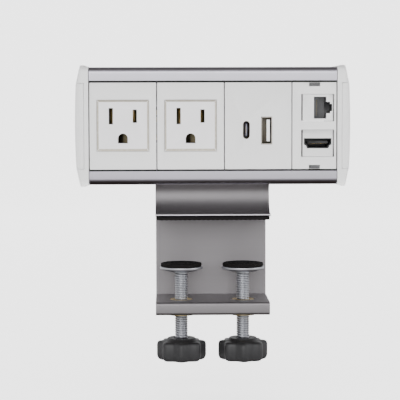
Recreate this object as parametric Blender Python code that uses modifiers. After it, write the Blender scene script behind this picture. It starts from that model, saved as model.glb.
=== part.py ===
"""Clamp-on desk power and data unit, in metres, +Z up.

The unit's length runs along X and its front faces -Y. The origin is the centre of the foot pad's
underside, which rests on the desk top. The clamp hangs below the desk behind its rear edge.
"""

import math

import bmesh
import bpy
from mathutils import Matrix, Vector

# Fits
CLEARANCE = 0.0003
SNUG = 0.00015
WELD = 0.000001
OVERCUT = 0.001

# Modules, from left to right, in the housing's front opening
OUTLET_WIDTH = 0.036
USB_WIDTH = 0.036
DATA_WIDTH = 0.024
MODULE_GAP = 0.0005
REVEAL = 0.00095
FACE_RECESS = 0.0003
FACE_THICKNESS = 0.0029
RIM_THICKNESS = 0.0015
SKIRT_DEPTH = 0.0115
SKIRT_WALL = 0.0010
FACE_EDGE = 0.00035

# Housing extrusion
BODY_HEIGHT = 0.0626
BODY_DEPTH = 0.052
BODY_CORNER = 0.0033
HOUSING_WALL = 0.002
STRIP_HEIGHT = 0.00725
STRIP_THICKNESS = 0.0018
GROOVE_DEPTH = 0.00275
RIB_THICKNESS = 0.0018
PORT_BOSS = 0.003
PORT_BORE = 0.0015
PORT_OFFSET = 0.0026
PORT_SPREAD = 0.0184

# End caps
CAP_PROUD = 0.0002
CAP_FLARE = 0.0008
CAP_SHOULDER = 0.0047
CAP_SLOPE_END = 0.0068
CAP_CROWN = 0.0075
CAP_FRONT_BACKSET = 0.007
CAP_SIDE_HALF = 0.0229
CAP_CROWN_STEP = 0.0003
CAP_CROWN_MARGIN = 0.0015
CAP_ROUND_START = 0.001
FLANGE_THICKNESS = 0.0023
COVER_WALL = 0.0018
CAP_SCREW_HEAD = 0.0024
CAP_SCREW_HEAD_HEIGHT = 0.0018
CAP_SCREW_SHANK = 0.00125
CAP_SCREW_LENGTH = 0.010

# Outlets
INSERT_WIDTH = 0.0277
INSERT_HEIGHT = 0.0273
INSERT_RISE = 0.0002
INSERT_PROUD = 0.0006
INSERT_BEVEL = 0.001
INSERT_FOOT_BEVEL = 0.0014
INSERT_WALL = 0.0024
INSERT_TAIL = 0.0035
INSERT_FLANGE = (0.0015, 0.0030)
INSERT_FLANGE_THICKNESS = 0.0014
INSERT_MARGIN = 0.0040
BLADE_SPREAD = 0.00635
BLADE_RISE = 0.0051
NEUTRAL_SLOT = (0.0022, 0.0086)
LINE_SLOT = (0.0022, 0.0070)
GROUND_WIDTH = 0.0052
GROUND_LOW = -0.0093
GROUND_HIGH = -0.0041
CARRIER_DEPTH = 0.017
CONTACT_THICKNESS = 0.0007
CONTACT_DEPTH = 0.0125
LEAF_MARGIN = 0.0006
LEAF_REACH = 0.0019
LEAF_NIP = 0.0002
LEAF_GRIP = (0.0012, 0.0024)
LEAF_BEND = 0.0035
LEAF_POCKET = 0.0052
GROUND_REACH = 0.0028
GROUND_LEAF = 0.0048
GROUND_POCKET = (0.0068, 0.0060)
TAIL_LENGTH = 0.0075
BUS_THICKNESS = 0.0008
BUS_HEIGHT = 0.003
BUS_OVERHANG = 0.003

# USB charger
USB_C_SIZE = (0.0037, 0.0096)
USB_C_PLACE = (-0.0063, -0.0022)
USB_A_SIZE = (0.0059, 0.0148)
USB_A_PLACE = (0.0045, -0.0025)
USB_SHELL_WALL = 0.00035
USB_A_CORNERS = (0.0004, 0.0002)
USB_C_TONGUE = (0.0007, 0.0062)
USB_A_TONGUE = (0.0017, 0.0115)
USB_A_TONGUE_SHIFT = 0.0009
USB_DEPTH = 0.0090
TONGUE_RECESS = 0.0007
TONGUE_ROOT = 0.0025
TONGUE_TAIL = 0.001
CHARGER_CASE = (0.031, 0.040)
CHARGER_FRONT = 0.0125
CHARGER_BACK_ROOM = 0.0079
CASE_WALL = 0.0015
BOARD_THICKNESS = 0.0016

# Data couplers
COUPLER_SIZE = (0.0160, 0.0142)
COUPLER_SHIFT = 0.00175
COUPLER_SLIT = 0.0008
RJ45_RISE = 0.0096
HDMI_RISE = -0.00935
COUPLER_DEPTH = 0.030
RJ45_OPENING = (0.00665, 0.01165)
RJ45_SHIFT = 0.0030
RJ45_NOTCH_STEPS = ((0.00197, 0.00607), (0.00307, 0.00383))
RJ45_DEPTH = 0.0125
COMB_THICKNESS = 0.0009
COMB_RECESS = 0.0012
COMB_WIRES = 8
WIRE_PITCH = 0.00102
WIRE_SPAN = (0.003, 0.011)
WIRE_WIDTH = 0.0004
WIRE_PROUD = 0.0007
HDMI_OPENING = (0.0147, 0.0054)
HDMI_CORNER = (0.0017, 0.0020)
HDMI_CORNER_KNEE = (0.55, 0.8)
HDMI_SHELL_WALL = 0.0004
HDMI_TONGUE = (0.0108, 0.0011)
HDMI_TONGUE_RISE = 0.0004
HDMI_DEPTH = 0.0105
LATCH_SIZE = (0.0060, 0.0022)
LATCH_RECESS = 0.0004

# Mains inlet, on the housing's back
INLET_X = -0.030
INLET_BODY = (0.0275, 0.0195)
INLET_FLANGE = (0.0320, 0.0250)
INLET_FLANGE_THICKNESS = 0.002
INLET_FLANGE_CORNER = 0.003
INLET_CORNER = 0.004
INLET_CAVITY = (0.0240, 0.0160)
INLET_STANDOFF = 0.0099
INLET_BASE = 0.003
PIN_THICKNESS = 0.002
PIN_WIDTH = 0.004
PIN_SPREAD = 0.007
PIN_RISE = 0.002
PIN_SHORTFALL = 0.003
PIN_TAB_HEIGHT = 0.0024

# Bracket, foot and clamp
BRACKET_WIDTH = 0.062
FOOT_DEPTH = 0.042
PAD_THICKNESS = 0.002
PAD_INSET = 0.0004
PAD_CORNER = 0.002
LIP_THICKNESS = 0.0012
LIP_FLAT = 0.0035
NECK_LOWER_RADIUS = 0.0108
NECK_UPPER_RADIUS = 0.007
NECK_UPPER_RISE = 0.0049
NECK_WALL = 0.003
TOP_PLATE = 0.0035
FOOT_PLATE = 0.004
WEB_THICKNESS = 0.006
BODY_OVERHANG = 0.004
CLAMP_DROP = 0.045
JAW_THICKNESS = 0.007
JAW_REACH = 0.037
BRACKET_ROUND = 0.0015
BRACKET_SCREW_SPREAD = 0.022
BRACKET_SCREW_Y = 0.012
BRACKET_SCREW_TIP = 0.001
CLAMP_SPREAD = 0.017
DESK_THICKNESS = 0.025
THINNEST_DESK = 0.013
FACE_PAD_RADIUS = 0.0112
FACE_PAD_THICKNESS = 0.0015
FACE_PAD_EDGE = 0.0004
DISC_RADIUS = 0.0118
DISC_THICKNESS = 0.003
DISC_EDGE = 0.0005
DISC_RIM = 0.0014
DISC_HUB_WALL = 0.003
SOCKET_DEPTH = 0.002
SCREW_RADIUS = 0.0037
SCREW_CHAMFER = 0.0005
BUSH_WALL = 0.0022
BUSH_FLANGE_WIDTH = 0.0018
BUSH_FLANGE_THICKNESS = 0.0012
KNOB_RADIUS = 0.0125
KNOB_LOBE = 0.0011
KNOB_LOBES = 8
KNOB_HEIGHT = 0.013
KNOB_EDGE = 0.001
KNOB_BORE_DEPTH = 0.010
SCREW_SIDES = 24

# Sizes that follow from these
MODULE_WIDTHS = (OUTLET_WIDTH, OUTLET_WIDTH, USB_WIDTH, DATA_WIDTH)
BODY_LENGTH = sum(MODULE_WIDTHS)
HALF_HEIGHT = BODY_HEIGHT / 2
OPENING_HALF = HALF_HEIGHT - STRIP_HEIGHT
FACE_HALF = OPENING_HALF - REVEAL
GROOVE_HALF = OPENING_HALF + GROOVE_DEPTH
GROOVE_BACK = STRIP_THICKNESS + RIM_THICKNESS + 2 * CLEARANCE
RIB_TIP = OPENING_HALF + REVEAL
RIM_FRONT = STRIP_THICKNESS + CLEARANCE
PORT_Y = BODY_DEPTH - HOUSING_WALL - PORT_OFFSET
CHARGER_DEPTH = PORT_Y - PORT_BOSS - CHARGER_BACK_ROOM - CHARGER_FRONT
FOOT_UNDERSIDE = PAD_THICKNESS + CLEARANCE
LIP_Y = -FOOT_DEPTH / 2
WEB_Y = FOOT_DEPTH / 2
NECK_TOP = FOOT_UNDERSIDE + LIP_THICKNESS + NECK_LOWER_RADIUS + NECK_UPPER_RISE
BODY_UNDERSIDE = NECK_TOP + CLEARANCE
BODY_FRONT = LIP_Y - BODY_OVERHANG
BODY_MIDDLE = BODY_UNDERSIDE + HALF_HEIGHT
JAW_TOP = -CLAMP_DROP
JAW_BOTTOM = JAW_TOP - JAW_THICKNESS
CARRIER_FRONT = INSERT_WALL + CLEARANCE
CONTACT_FRONT = CARRIER_FRONT + CLEARANCE
TAIL_END = CONTACT_FRONT + CONTACT_DEPTH + TAIL_LENGTH
BUS_FRONT = TAIL_END + CLEARANCE
INLET_DEPTH = BODY_DEPTH - BUS_FRONT - BUS_THICKNESS - INLET_STANDOFF
BUSH_BORE = SCREW_RADIUS + CLEARANCE
BUSH_RADIUS = BUSH_BORE + BUSH_WALL
BUSH_FLANGE = BUSH_RADIUS + BUSH_FLANGE_WIDTH
INSERT_FLANGE_FRONT = FACE_THICKNESS + CLEARANCE
DATA_CENTRE = BODY_LENGTH / 2 - DATA_WIDTH / 2

# Local axes of flat outlines: which world axes an outline's own x, y and thickness run along
PLANES = {
    "YZ": Matrix(((0, 0, 1), (1, 0, 0), (0, 1, 0))),
    "XZ": Matrix(((1, 0, 0), (0, 0, -1), (0, 1, 0))),
    "XY": Matrix.Identity(3),
}
NORMALS = {"YZ": Vector((1, 0, 0)), "XZ": Vector((0, 1, 0)), "XY": Vector((0, 0, 1))}
TURNS = {
    "X": Matrix.Rotation(math.pi / 2, 3, "Y"),
    "Z": Matrix.Identity(3),
}

FINISHES = {
    "anodised_aluminium": ((0.56, 0.55, 0.60, 1.0), 0.38, 1.0),
    "white_plastic": ((0.66, 0.66, 0.65, 1.0), 0.45, 0.0),
    "receptacle_plastic": ((0.67, 0.66, 0.66, 1.0), 0.42, 0.0),
    "grey_plastic": ((0.30, 0.30, 0.31, 1.0), 0.50, 0.0),
    "black_plastic": ((0.02, 0.02, 0.02, 1.0), 0.45, 0.0),
    "black_rubber": ((0.012, 0.012, 0.012, 1.0), 0.85, 0.0),
    "brass": ((0.62, 0.48, 0.22, 1.0), 0.35, 1.0),
    "nickel": ((0.58, 0.55, 0.50, 1.0), 0.30, 1.0),
    "zinc_steel": ((0.55, 0.56, 0.58, 1.0), 0.35, 1.0),
    "circuit_board": ((0.02, 0.16, 0.06, 1.0), 0.50, 0.0),
}


def clear_scene():
    for obj in list(bpy.data.objects):
        bpy.data.objects.remove(obj, do_unlink=True)


def new_collection(name):
    collection = bpy.data.collections.new(name)
    bpy.context.scene.collection.children.link(collection)
    return collection


def make_material(name, colour, roughness, metallic):
    material = bpy.data.materials.new(name)
    material.use_nodes = True
    shader = material.node_tree.nodes["Principled BSDF"]
    shader.inputs["Base Color"].default_value = colour
    shader.inputs["Roughness"].default_value = roughness
    shader.inputs["Metallic"].default_value = metallic
    material.diffuse_color = colour
    return material


clear_scene()
PARTS = new_collection("desk_power_unit")
CUTTERS = new_collection("cutters")
MATERIALS = {name: make_material(name, *look) for name, look in FINISHES.items()}


def frame(name, parent, place):
    """Empty that carries an assembly's local axes."""
    empty = bpy.data.objects.new(name, None)
    empty.location = place
    empty.parent = parent
    PARTS.objects.link(empty)
    return empty


def part(name, mesh, finish, parent=None, place=(0, 0, 0)):
    """Named piece of the unit."""
    obj = bpy.data.objects.new(name, mesh)
    obj.location = place
    obj.parent = parent
    obj.data.materials.append(MATERIALS[finish])
    PARTS.objects.link(obj)
    return obj


def apply_tool(target, mesh, operation, place=(0, 0, 0)):
    """Boolean with a hidden tool, which stands in the target's own assembly."""
    tool = bpy.data.objects.new(f"{target.name}_tool", mesh)
    tool.parent = target.parent
    tool.location = Vector(target.location) + Vector(place)
    tool.hide_render = True
    tool.display_type = "WIRE"
    CUTTERS.objects.link(tool)
    boolean = target.modifiers.new(operation.lower(), "BOOLEAN")
    boolean.operation = operation
    boolean.solver = "EXACT"
    boolean.object = tool


def cut(target, mesh, place=(0, 0, 0)):
    apply_tool(target, mesh, "DIFFERENCE", place)


def join(target, mesh, place=(0, 0, 0)):
    apply_tool(target, mesh, "UNION", place)


def keep(target, mesh, place=(0, 0, 0)):
    apply_tool(target, mesh, "INTERSECT", place)


def round_edges(obj, width, segments, angle=30):
    bevel = obj.modifiers.new("round", "BEVEL")
    bevel.width = width
    bevel.segments = segments
    bevel.limit_method = "ANGLE"
    bevel.angle_limit = math.radians(angle)


def smooth(mesh, angle=35):
    mesh.shade_smooth()
    mesh.set_sharp_from_angle(angle=math.radians(angle))
    return mesh


def to_mesh(shape, name):
    mesh = bpy.data.meshes.new(name)
    shape.to_mesh(mesh)
    shape.free()
    return mesh


def block(low, high):
    """Box between two corners."""
    low, high = Vector(low), Vector(high)
    shape = bmesh.new()
    bmesh.ops.create_cube(shape, size=1.0)
    bmesh.ops.scale(shape, verts=shape.verts, vec=high - low)
    bmesh.ops.translate(shape, verts=shape.verts, vec=(low + high) / 2)
    return to_mesh(shape, "block")


def centred_block(size, low, high, x=0.0, z=0.0):
    """Box of a face size (x, z) about a centre, from one depth to another along Y."""
    return block((x - size[0] / 2, low, z - size[1] / 2), (x + size[0] / 2, high, z + size[1] / 2))


def rod(radius, low, high, axis="Z", sides=SCREW_SIDES, place=(0, 0, 0)):
    """Cylinder about an axis through a place, from one level to another."""
    shape = bmesh.new()
    bmesh.ops.create_cone(
        shape, cap_ends=True, segments=sides, radius1=radius, radius2=radius, depth=high - low
    )
    bmesh.ops.translate(shape, verts=shape.verts, vec=(0, 0, (low + high) / 2))
    bmesh.ops.rotate(shape, verts=shape.verts, matrix=TURNS[axis])
    bmesh.ops.translate(shape, verts=shape.verts, vec=place)
    return smooth(to_mesh(shape, "rod"))


def prism(loops, low, high, plane):
    """Flat closed outlines, the first the outer edge and any others holes, made as thick as high - low."""
    curve = bpy.data.curves.new("outline", "CURVE")
    curve.dimensions = "2D"
    curve.fill_mode = "BOTH"
    curve.extrude = (high - low) / 2
    for loop in loops:
        spline = curve.splines.new("POLY")
        spline.points.add(len(loop) - 1)
        for point, (across, up) in zip(spline.points, loop):
            point.co = (across, up, 0.0, 1.0)
        spline.use_cyclic_u = True
    guide = bpy.data.objects.new("outline", curve)
    CUTTERS.objects.link(guide)
    evaluated = guide.evaluated_get(bpy.context.evaluated_depsgraph_get())
    flat = bpy.data.meshes.new_from_object(evaluated)
    bpy.data.objects.remove(guide, do_unlink=True)
    bpy.data.curves.remove(curve)
    shape = bmesh.new()
    shape.from_mesh(flat)
    bpy.data.meshes.remove(flat)
    bmesh.ops.remove_doubles(shape, verts=shape.verts, dist=WELD)
    bmesh.ops.transform(shape, matrix=PLANES[plane].to_4x4(), verts=shape.verts)
    bmesh.ops.translate(shape, verts=shape.verts, vec=NORMALS[plane] * (low + high) / 2)
    bmesh.ops.recalc_face_normals(shape, faces=shape.faces)
    return smooth(to_mesh(shape, "prism"), 25)


def turned(name, profile, finish, parent, place=(0, 0, 0), rotation=(0, 0, 0), sides=SCREW_SIDES):
    """Solid of revolution about its own Z, from a half outline that runs down its outer side."""
    shape = bmesh.new()
    points = [shape.verts.new((radius, 0, height)) for radius, height in profile]
    for first, second in zip(points, points[1:]):
        shape.edges.new((first, second))
    obj = part(name, to_mesh(shape, name), finish, parent, place)
    obj.rotation_euler = rotation
    screw = obj.modifiers.new("turn", "SCREW")
    screw.axis = "Z"
    screw.steps = sides
    screw.render_steps = sides
    screw.use_merge_vertices = True
    screw.merge_threshold = WELD
    screw.use_smooth_shade = True
    return obj


def arc(centre, radius, start, end, steps):
    """Points of an arc, by angles in degrees."""
    angles = [math.radians(start + (end - start) * i / steps) for i in range(steps + 1)]
    return [(centre[0] + radius * math.cos(a), centre[1] + radius * math.sin(a)) for a in angles]


def rounded_rectangle(width, height, radius, steps=4, centre=(0, 0)):
    """Closed outline with its four corners rounded."""
    across, up = width / 2 - radius, height / 2 - radius
    corners = ((across, up, 0), (-across, up, 90), (-across, -up, 180), (across, -up, 270))
    loop = []
    for x, z, angle in corners:
        loop += arc((centre[0] + x, centre[1] + z), radius, angle, angle + 90, steps)
    return loop


def ribbon(path, thickness):
    """Outline of a strip of even thickness along a path."""
    points = [Vector(point) for point in path]
    sides = ([], [])
    for i, point in enumerate(points):
        before = (point - points[i - 1]).normalized() if i else None
        after = (points[i + 1] - point).normalized() if i + 1 < len(points) else None
        along = (before or after) + (after or before)
        along.normalize()
        normal = Vector((-along.y, along.x))
        lean = normal.dot(Vector((-(before or after).y, (before or after).x)))
        offset = normal * thickness / 2 / lean
        sides[0].append(tuple(point + offset))
        sides[1].append(tuple(point - offset))
    return sides[0] + sides[1][::-1]


# ---- Housing -------------------------------------------------------------------------------------


def housing_section():
    """Outline of the extrusion across its length: front at y 0, middle at z 0."""
    half, corner, wall = HALF_HEIGHT, BODY_CORNER, HOUSING_WALL
    back = BODY_DEPTH
    outer = [(0, OPENING_HALF)]
    outer += arc((corner, half - corner), corner, 180, 90, 6)
    outer += arc((back - corner, half - corner), corner, 90, 0, 6)
    outer += arc((back - corner, corner - half), corner, 0, -90, 6)
    outer += arc((corner, corner - half), corner, -90, -180, 6)
    outer += [(0, -OPENING_HALF)]
    inner_back = back - wall
    opening = math.degrees(math.acos(PORT_OFFSET / PORT_BOSS))
    lower_boss = arc((PORT_Y, -PORT_SPREAD), PORT_BOSS, -opening, opening - 360, 10)
    upper_boss = arc((PORT_Y, PORT_SPREAD), PORT_BOSS, -opening, opening - 360, 10)
    front = [
        (STRIP_THICKNESS, OPENING_HALF),
        (STRIP_THICKNESS, GROOVE_HALF),
        (GROOVE_BACK, GROOVE_HALF),
        (GROOVE_BACK, RIB_TIP),
        (GROOVE_BACK + RIB_THICKNESS, RIB_TIP),
        (GROOVE_BACK + RIB_THICKNESS, half - wall),
    ]
    inner = [(y, -z) for y, z in front] + [(inner_back, wall - half)]
    inner += lower_boss + upper_boss
    inner += [(inner_back, half - wall)] + front[::-1]
    ports = [arc((PORT_Y, z), PORT_BORE, 0, 330, 11) for z in (-PORT_SPREAD, PORT_SPREAD)]
    return [outer + inner] + ports


def build_housing(unit):
    body = part(
        "housing_extrusion",
        prism(housing_section(), -BODY_LENGTH / 2, BODY_LENGTH / 2, "YZ"),
        "anodised_aluminium",
        unit,
    )
    back = BODY_DEPTH - HOUSING_WALL - OVERCUT
    inlet_hole = (INLET_BODY[0] + 2 * CLEARANCE, INLET_BODY[1] + 2 * CLEARANCE)
    cut(body, centred_block(inlet_hole, back, BODY_DEPTH + OVERCUT, x=INLET_X))
    window = (COUPLER_SIZE[0] + 2 * COUPLER_SLIT, 2 * (PORT_SPREAD - PORT_BOSS - CLEARANCE))
    couplers = DATA_CENTRE + COUPLER_SHIFT
    cut(body, centred_block(window, back, BODY_DEPTH + OVERCUT, x=couplers))
    for side in (-1, 1):
        hole = rod(
            CAP_SCREW_SHANK + 2 * CLEARANCE + SNUG,
            -HALF_HEIGHT - OVERCUT,
            OVERCUT - HALF_HEIGHT + HOUSING_WALL,
            sides=16,
            place=(side * BRACKET_SCREW_SPREAD, BRACKET_SCREW_Y - BODY_FRONT, 0),
        )
        cut(body, hole)


# ---- End caps ------------------------------------------------------------------------------------


def cap_front_outline(side):
    """The cap's silhouette seen from the front, as (x, z) from the joint."""
    foot = HALF_HEIGHT + CAP_PROUD
    shoulder = HALF_HEIGHT + CAP_PROUD + CAP_FLARE
    upper = [(0, foot), (CAP_SHOULDER, shoulder), (CAP_SLOPE_END, CAP_SIDE_HALF)]
    foot_of_crown = CAP_SLOPE_END + CAP_CROWN_STEP
    crown = []
    steps = 8
    for i in range(steps + 1):
        share = 1 - 2 * i / steps
        bulge = foot_of_crown + (CAP_CROWN - foot_of_crown) * (1 - share**2)
        crown.append((bulge, share * (CAP_SIDE_HALF - CAP_CROWN_MARGIN)))
    lower = [(x, -z) for x, z in reversed(upper)]
    return [(side * x, z) for x, z in upper + crown + lower]


def cap_plan_outline(side):
    """The cap's outline seen from above, as (x, y) from the joint."""
    front = -CAP_PROUD
    back = BODY_DEPTH + CAP_PROUD
    start = CAP_SHOULDER - CAP_ROUND_START
    reach = CAP_CROWN - start
    loop = [(0, front)]
    steps = 7
    for i in range(steps + 1):
        angle = math.pi / 2 * i / steps
        x = start + reach * math.sin(angle)
        y = front + CAP_FRONT_BACKSET * (1 - math.cos(angle))
        loop.append((x, y))
    loop += [(x, back + front - y) for x, y in reversed(loop)]
    return [(side * x, y) for x, y in loop]


def cap_side_outline():
    """The cap's outline seen from the end, as (y, z)."""
    width = BODY_DEPTH + 2 * CAP_PROUD
    height = 2 * (HALF_HEIGHT + CAP_PROUD + CAP_FLARE)
    return rounded_rectangle(width, height, BODY_CORNER + CAP_PROUD, 6, (BODY_DEPTH / 2, 0))


def cap_blank(name, side, joint):
    """Whole outer form of an end cap: its three silhouettes in common."""
    far = CAP_CROWN + OVERCUT
    ends = sorted((-side * OVERCUT, side * far))
    blank = part(
        name,
        prism([cap_front_outline(side)], -OVERCUT, BODY_DEPTH + OVERCUT, "XZ"),
        "white_plastic",
        joint,
    )
    keep(blank, prism([cap_plan_outline(side)], -2 * HALF_HEIGHT, 2 * HALF_HEIGHT, "XY"))
    keep(blank, prism([cap_side_outline()], *ends, "YZ"))
    return blank


def side_box(side, near, far, half_height, front, back):
    """Box beside the joint, from one distance out to another."""
    low, high = sorted((side * near, side * far))
    return block((low, front, -half_height), (high, back, half_height))


def build_end_cap(unit, word, side):
    joint = frame(f"{word}_end", unit, (side * (BODY_LENGTH / 2 + CLEARANCE), 0, 0))
    front, back = -2 * OVERCUT, BODY_DEPTH + 2 * OVERCUT
    far = CAP_CROWN + 2 * OVERCUT

    base = cap_blank(f"{word}_end_cap_base", side, joint)
    cut(base, side_box(side, FLANGE_THICKNESS, far, CAP_SIDE_HALF, front, back))

    cover = cap_blank(f"{word}_end_cap_cover", side, joint)
    keep(
        cover,
        side_box(
            side, FLANGE_THICKNESS + CLEARANCE, far, CAP_SIDE_HALF - CLEARANCE, front, back
        ),
    )
    hollow_top = FLANGE_THICKNESS + CAP_SCREW_HEAD_HEIGHT + 2 * CLEARANCE
    cut(
        cover,
        side_box(
            side,
            FLANGE_THICKNESS - OVERCUT,
            hollow_top,
            CAP_SIDE_HALF - COVER_WALL,
            CAP_FRONT_BACKSET,
            PORT_Y + CAP_SCREW_HEAD + 2 * CLEARANCE,
        ),
    )
    for level, z in (("lower", -PORT_SPREAD), ("upper", PORT_SPREAD)):
        hole_low, hole_high = sorted((-side * OVERCUT, side * (FLANGE_THICKNESS + OVERCUT)))
        hole = rod(CAP_SCREW_SHANK + CLEARANCE, hole_low, hole_high, "X", 16, (0, PORT_Y, z))
        cut(base, hole)
        head = FLANGE_THICKNESS + CLEARANCE
        turned(
            f"{word}_cap_screw_{level}",
            [
                (0, head + CAP_SCREW_HEAD_HEIGHT),
                (CAP_SCREW_HEAD * 0.8, head + CAP_SCREW_HEAD_HEIGHT),
                (CAP_SCREW_HEAD, head + CAP_SCREW_HEAD_HEIGHT * 0.5),
                (CAP_SCREW_HEAD, head),
                (CAP_SCREW_SHANK, head),
                (CAP_SCREW_SHANK, head - CAP_SCREW_LENGTH),
                (0, head - CAP_SCREW_LENGTH - CAP_SCREW_SHANK),
            ],
            "zinc_steel",
            joint,
            (0, PORT_Y, z),
            (0, side * math.pi / 2, 0),
            16,
        )


# ---- Modules -------------------------------------------------------------------------------------


def faceplate(name, width, parent):
    """Slide-in front plate: face, rim held in the housing's grooves, and a skirt behind."""
    half = (width - MODULE_GAP) / 2
    plate = part(
        name,
        block((-half, FACE_RECESS, -FACE_HALF), (half, FACE_THICKNESS, FACE_HALF)),
        "white_plastic",
        parent,
    )
    round_edges(plate, FACE_EDGE, 2)
    rim = GROOVE_HALF - CLEARANCE
    join(plate, block((-half, RIM_FRONT, -rim), (half, RIM_FRONT + RIM_THICKNESS, rim)))
    skirt = half - SKIRT_WALL / 2
    skirt_half = RIB_TIP - CLEARANCE
    join(
        plate,
        block(
            (-skirt, FACE_THICKNESS - SNUG, -skirt_half),
            (skirt, SKIRT_DEPTH, skirt_half),
        ),
    )
    inside = skirt - SKIRT_WALL
    inside_half = skirt_half - SKIRT_WALL
    cut(
        plate,
        block(
            (-inside, FACE_THICKNESS, -inside_half),
            (inside, SKIRT_DEPTH + OVERCUT, inside_half),
        ),
    )
    return plate


def insert_block():
    """Receptacle front: a block with a sloped edge round its face, wider at the foot."""
    shape = bmesh.new()
    front = FACE_RECESS - INSERT_PROUD
    depth = INSERT_FLANGE_FRONT + INSERT_TAIL - front
    bmesh.ops.create_cube(shape, size=1.0)
    bmesh.ops.scale(shape, verts=shape.verts, vec=(INSERT_WIDTH, depth, INSERT_HEIGHT))
    bmesh.ops.translate(shape, verts=shape.verts, vec=(0, front + depth / 2, INSERT_RISE))
    face = min(shape.faces, key=lambda each: each.calc_center_median().y)
    made = bmesh.ops.extrude_discrete_faces(shape, faces=[face])
    inner = made["faces"][0]
    middle = inner.calc_center_median()
    for vert in inner.verts:
        sink = INSERT_FOOT_BEVEL if vert.co.z < middle.z else INSERT_BEVEL
        vert.co.x -= math.copysign(INSERT_BEVEL, vert.co.x)
        vert.co.z -= math.copysign(sink, vert.co.z - middle.z)
    for vert in shape.verts:
        if vert not in inner.verts[:] and vert.co.y < front + SNUG:
            vert.co.y = FACE_RECESS
    return to_mesh(shape, "insert")


def ground_outline(grow=0.0):
    """D-shaped opening with a round top, as (x, z)."""
    half = GROUND_WIDTH / 2 + grow
    low = GROUND_LOW + INSERT_RISE - grow
    high = GROUND_HIGH + INSERT_RISE + grow
    return [(-half, low), (half, low)] + arc((0, high - half), half, 0, 180, 10)


def contact_path(reach):
    """Bent strip that grips a blade, as (x, y) from the slot's middle, sprung leaf towards +x."""
    front, back = CONTACT_FRONT, CONTACT_FRONT + CONTACT_DEPTH
    return [
        (-reach, front),
        (-reach * 0.8, back),
        (reach * 0.8, back),
        (reach * 0.75, back - LEAF_BEND),
        (LEAF_NIP, front + LEAF_GRIP[1]),
        (LEAF_NIP, front + LEAF_GRIP[0]),
        (reach, front),
    ]


def build_outlet(unit, index, centre):
    module = frame(f"outlet_{index}", unit, (centre, 0, 0))
    name = f"outlet_{index}"
    plate = faceplate(f"{name}_faceplate", OUTLET_WIDTH, module)
    window = (INSERT_WIDTH + 2 * SNUG, INSERT_HEIGHT + 2 * SNUG)
    cut(plate, centred_block(window, -OVERCUT, FACE_THICKNESS + OVERCUT, z=INSERT_RISE))

    insert = part(f"{name}_receptacle", insert_block(), "receptacle_plastic", module)
    flange = (INSERT_WIDTH + INSERT_FLANGE[0], INSERT_HEIGHT + INSERT_FLANGE[1])
    flange_back = INSERT_FLANGE_FRONT + INSERT_FLANGE_THICKNESS
    join(insert, centred_block(flange, INSERT_FLANGE_FRONT, flange_back, z=INSERT_RISE))
    pocket = (INSERT_WIDTH - INSERT_MARGIN, INSERT_HEIGHT - INSERT_MARGIN)
    pocket_back = INSERT_FLANGE_FRONT + INSERT_TAIL + OVERCUT
    cut(insert, centred_block(pocket, INSERT_WALL, pocket_back, z=INSERT_RISE))

    carrier_back = CARRIER_FRONT + CARRIER_DEPTH
    carrier_size = (pocket[0] - 2 * CLEARANCE, pocket[1] - 2 * CLEARANCE)
    carrier = part(
        f"{name}_contact_carrier",
        centred_block(carrier_size, CARRIER_FRONT, carrier_back, z=INSERT_RISE),
        "black_plastic",
        module,
    )
    contact_back = CONTACT_FRONT + CONTACT_DEPTH + CONTACT_THICKNESS
    slots = (
        ("neutral", -1, NEUTRAL_SLOT, -1),
        ("line", 1, LINE_SLOT, 1),
    )
    for word, side, slot, level in slots:
        x = side * BLADE_SPREAD
        z = BLADE_RISE + INSERT_RISE
        cut(insert, centred_block(slot, -OVERCUT, INSERT_WALL + OVERCUT, x, z))
        leaf = slot[1] - LEAF_MARGIN
        cut(
            carrier,
            centred_block(
                (LEAF_POCKET, slot[1] + 2 * CLEARANCE),
                CARRIER_FRONT - OVERCUT,
                contact_back + CLEARANCE,
                x,
                z,
            ),
        )
        tail_z = z + level * leaf / 4
        tail = (CONTACT_THICKNESS, leaf / 2)
        tail_hole = (tail[0] + 2 * CLEARANCE, tail[1] + 2 * CLEARANCE)
        cut(carrier, centred_block(tail_hole, contact_back, carrier_back + OVERCUT, x, tail_z))
        path = [(x - side * across, along) for across, along in contact_path(LEAF_REACH)]
        contact = part(
            f"{name}_{word}_contact",
            prism([ribbon(path, CONTACT_THICKNESS)], z - leaf / 2, z + leaf / 2, "XY"),
            "brass",
            module,
        )
        join(contact, centred_block(tail, contact_back - CONTACT_THICKNESS, TAIL_END, x, tail_z))

    cut(insert, prism([ground_outline()], -OVERCUT, INSERT_WALL + OVERCUT, "XZ"))
    ground_z = (GROUND_LOW + GROUND_HIGH) / 2 + INSERT_RISE
    cut(
        carrier,
        centred_block(
            GROUND_POCKET, CARRIER_FRONT - OVERCUT, contact_back + CLEARANCE, 0, ground_z
        ),
    )
    tail = (CONTACT_THICKNESS, BUS_HEIGHT)
    tail_hole = (tail[0] + 2 * CLEARANCE, tail[1] + 2 * CLEARANCE)
    cut(carrier, centred_block(tail_hole, contact_back, carrier_back + OVERCUT, 0, ground_z))
    ground = part(
        f"{name}_ground_contact",
        prism(
            [ribbon(contact_path(GROUND_REACH), CONTACT_THICKNESS)],
            ground_z - GROUND_LEAF / 2,
            ground_z + GROUND_LEAF / 2,
            "XY",
        ),
        "brass",
        module,
    )
    join(ground, centred_block(tail, contact_back - CONTACT_THICKNESS, TAIL_END, 0, ground_z))


def bus_levels():
    """Heights of the three bus bars, where the contacts' tails end."""
    z = BLADE_RISE + INSERT_RISE
    return {
        "neutral": z - (NEUTRAL_SLOT[1] - LEAF_MARGIN) / 4,
        "line": z + (LINE_SLOT[1] - LEAF_MARGIN) / 4,
        "ground": (GROUND_LOW + GROUND_HIGH) / 2 + INSERT_RISE,
    }


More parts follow.
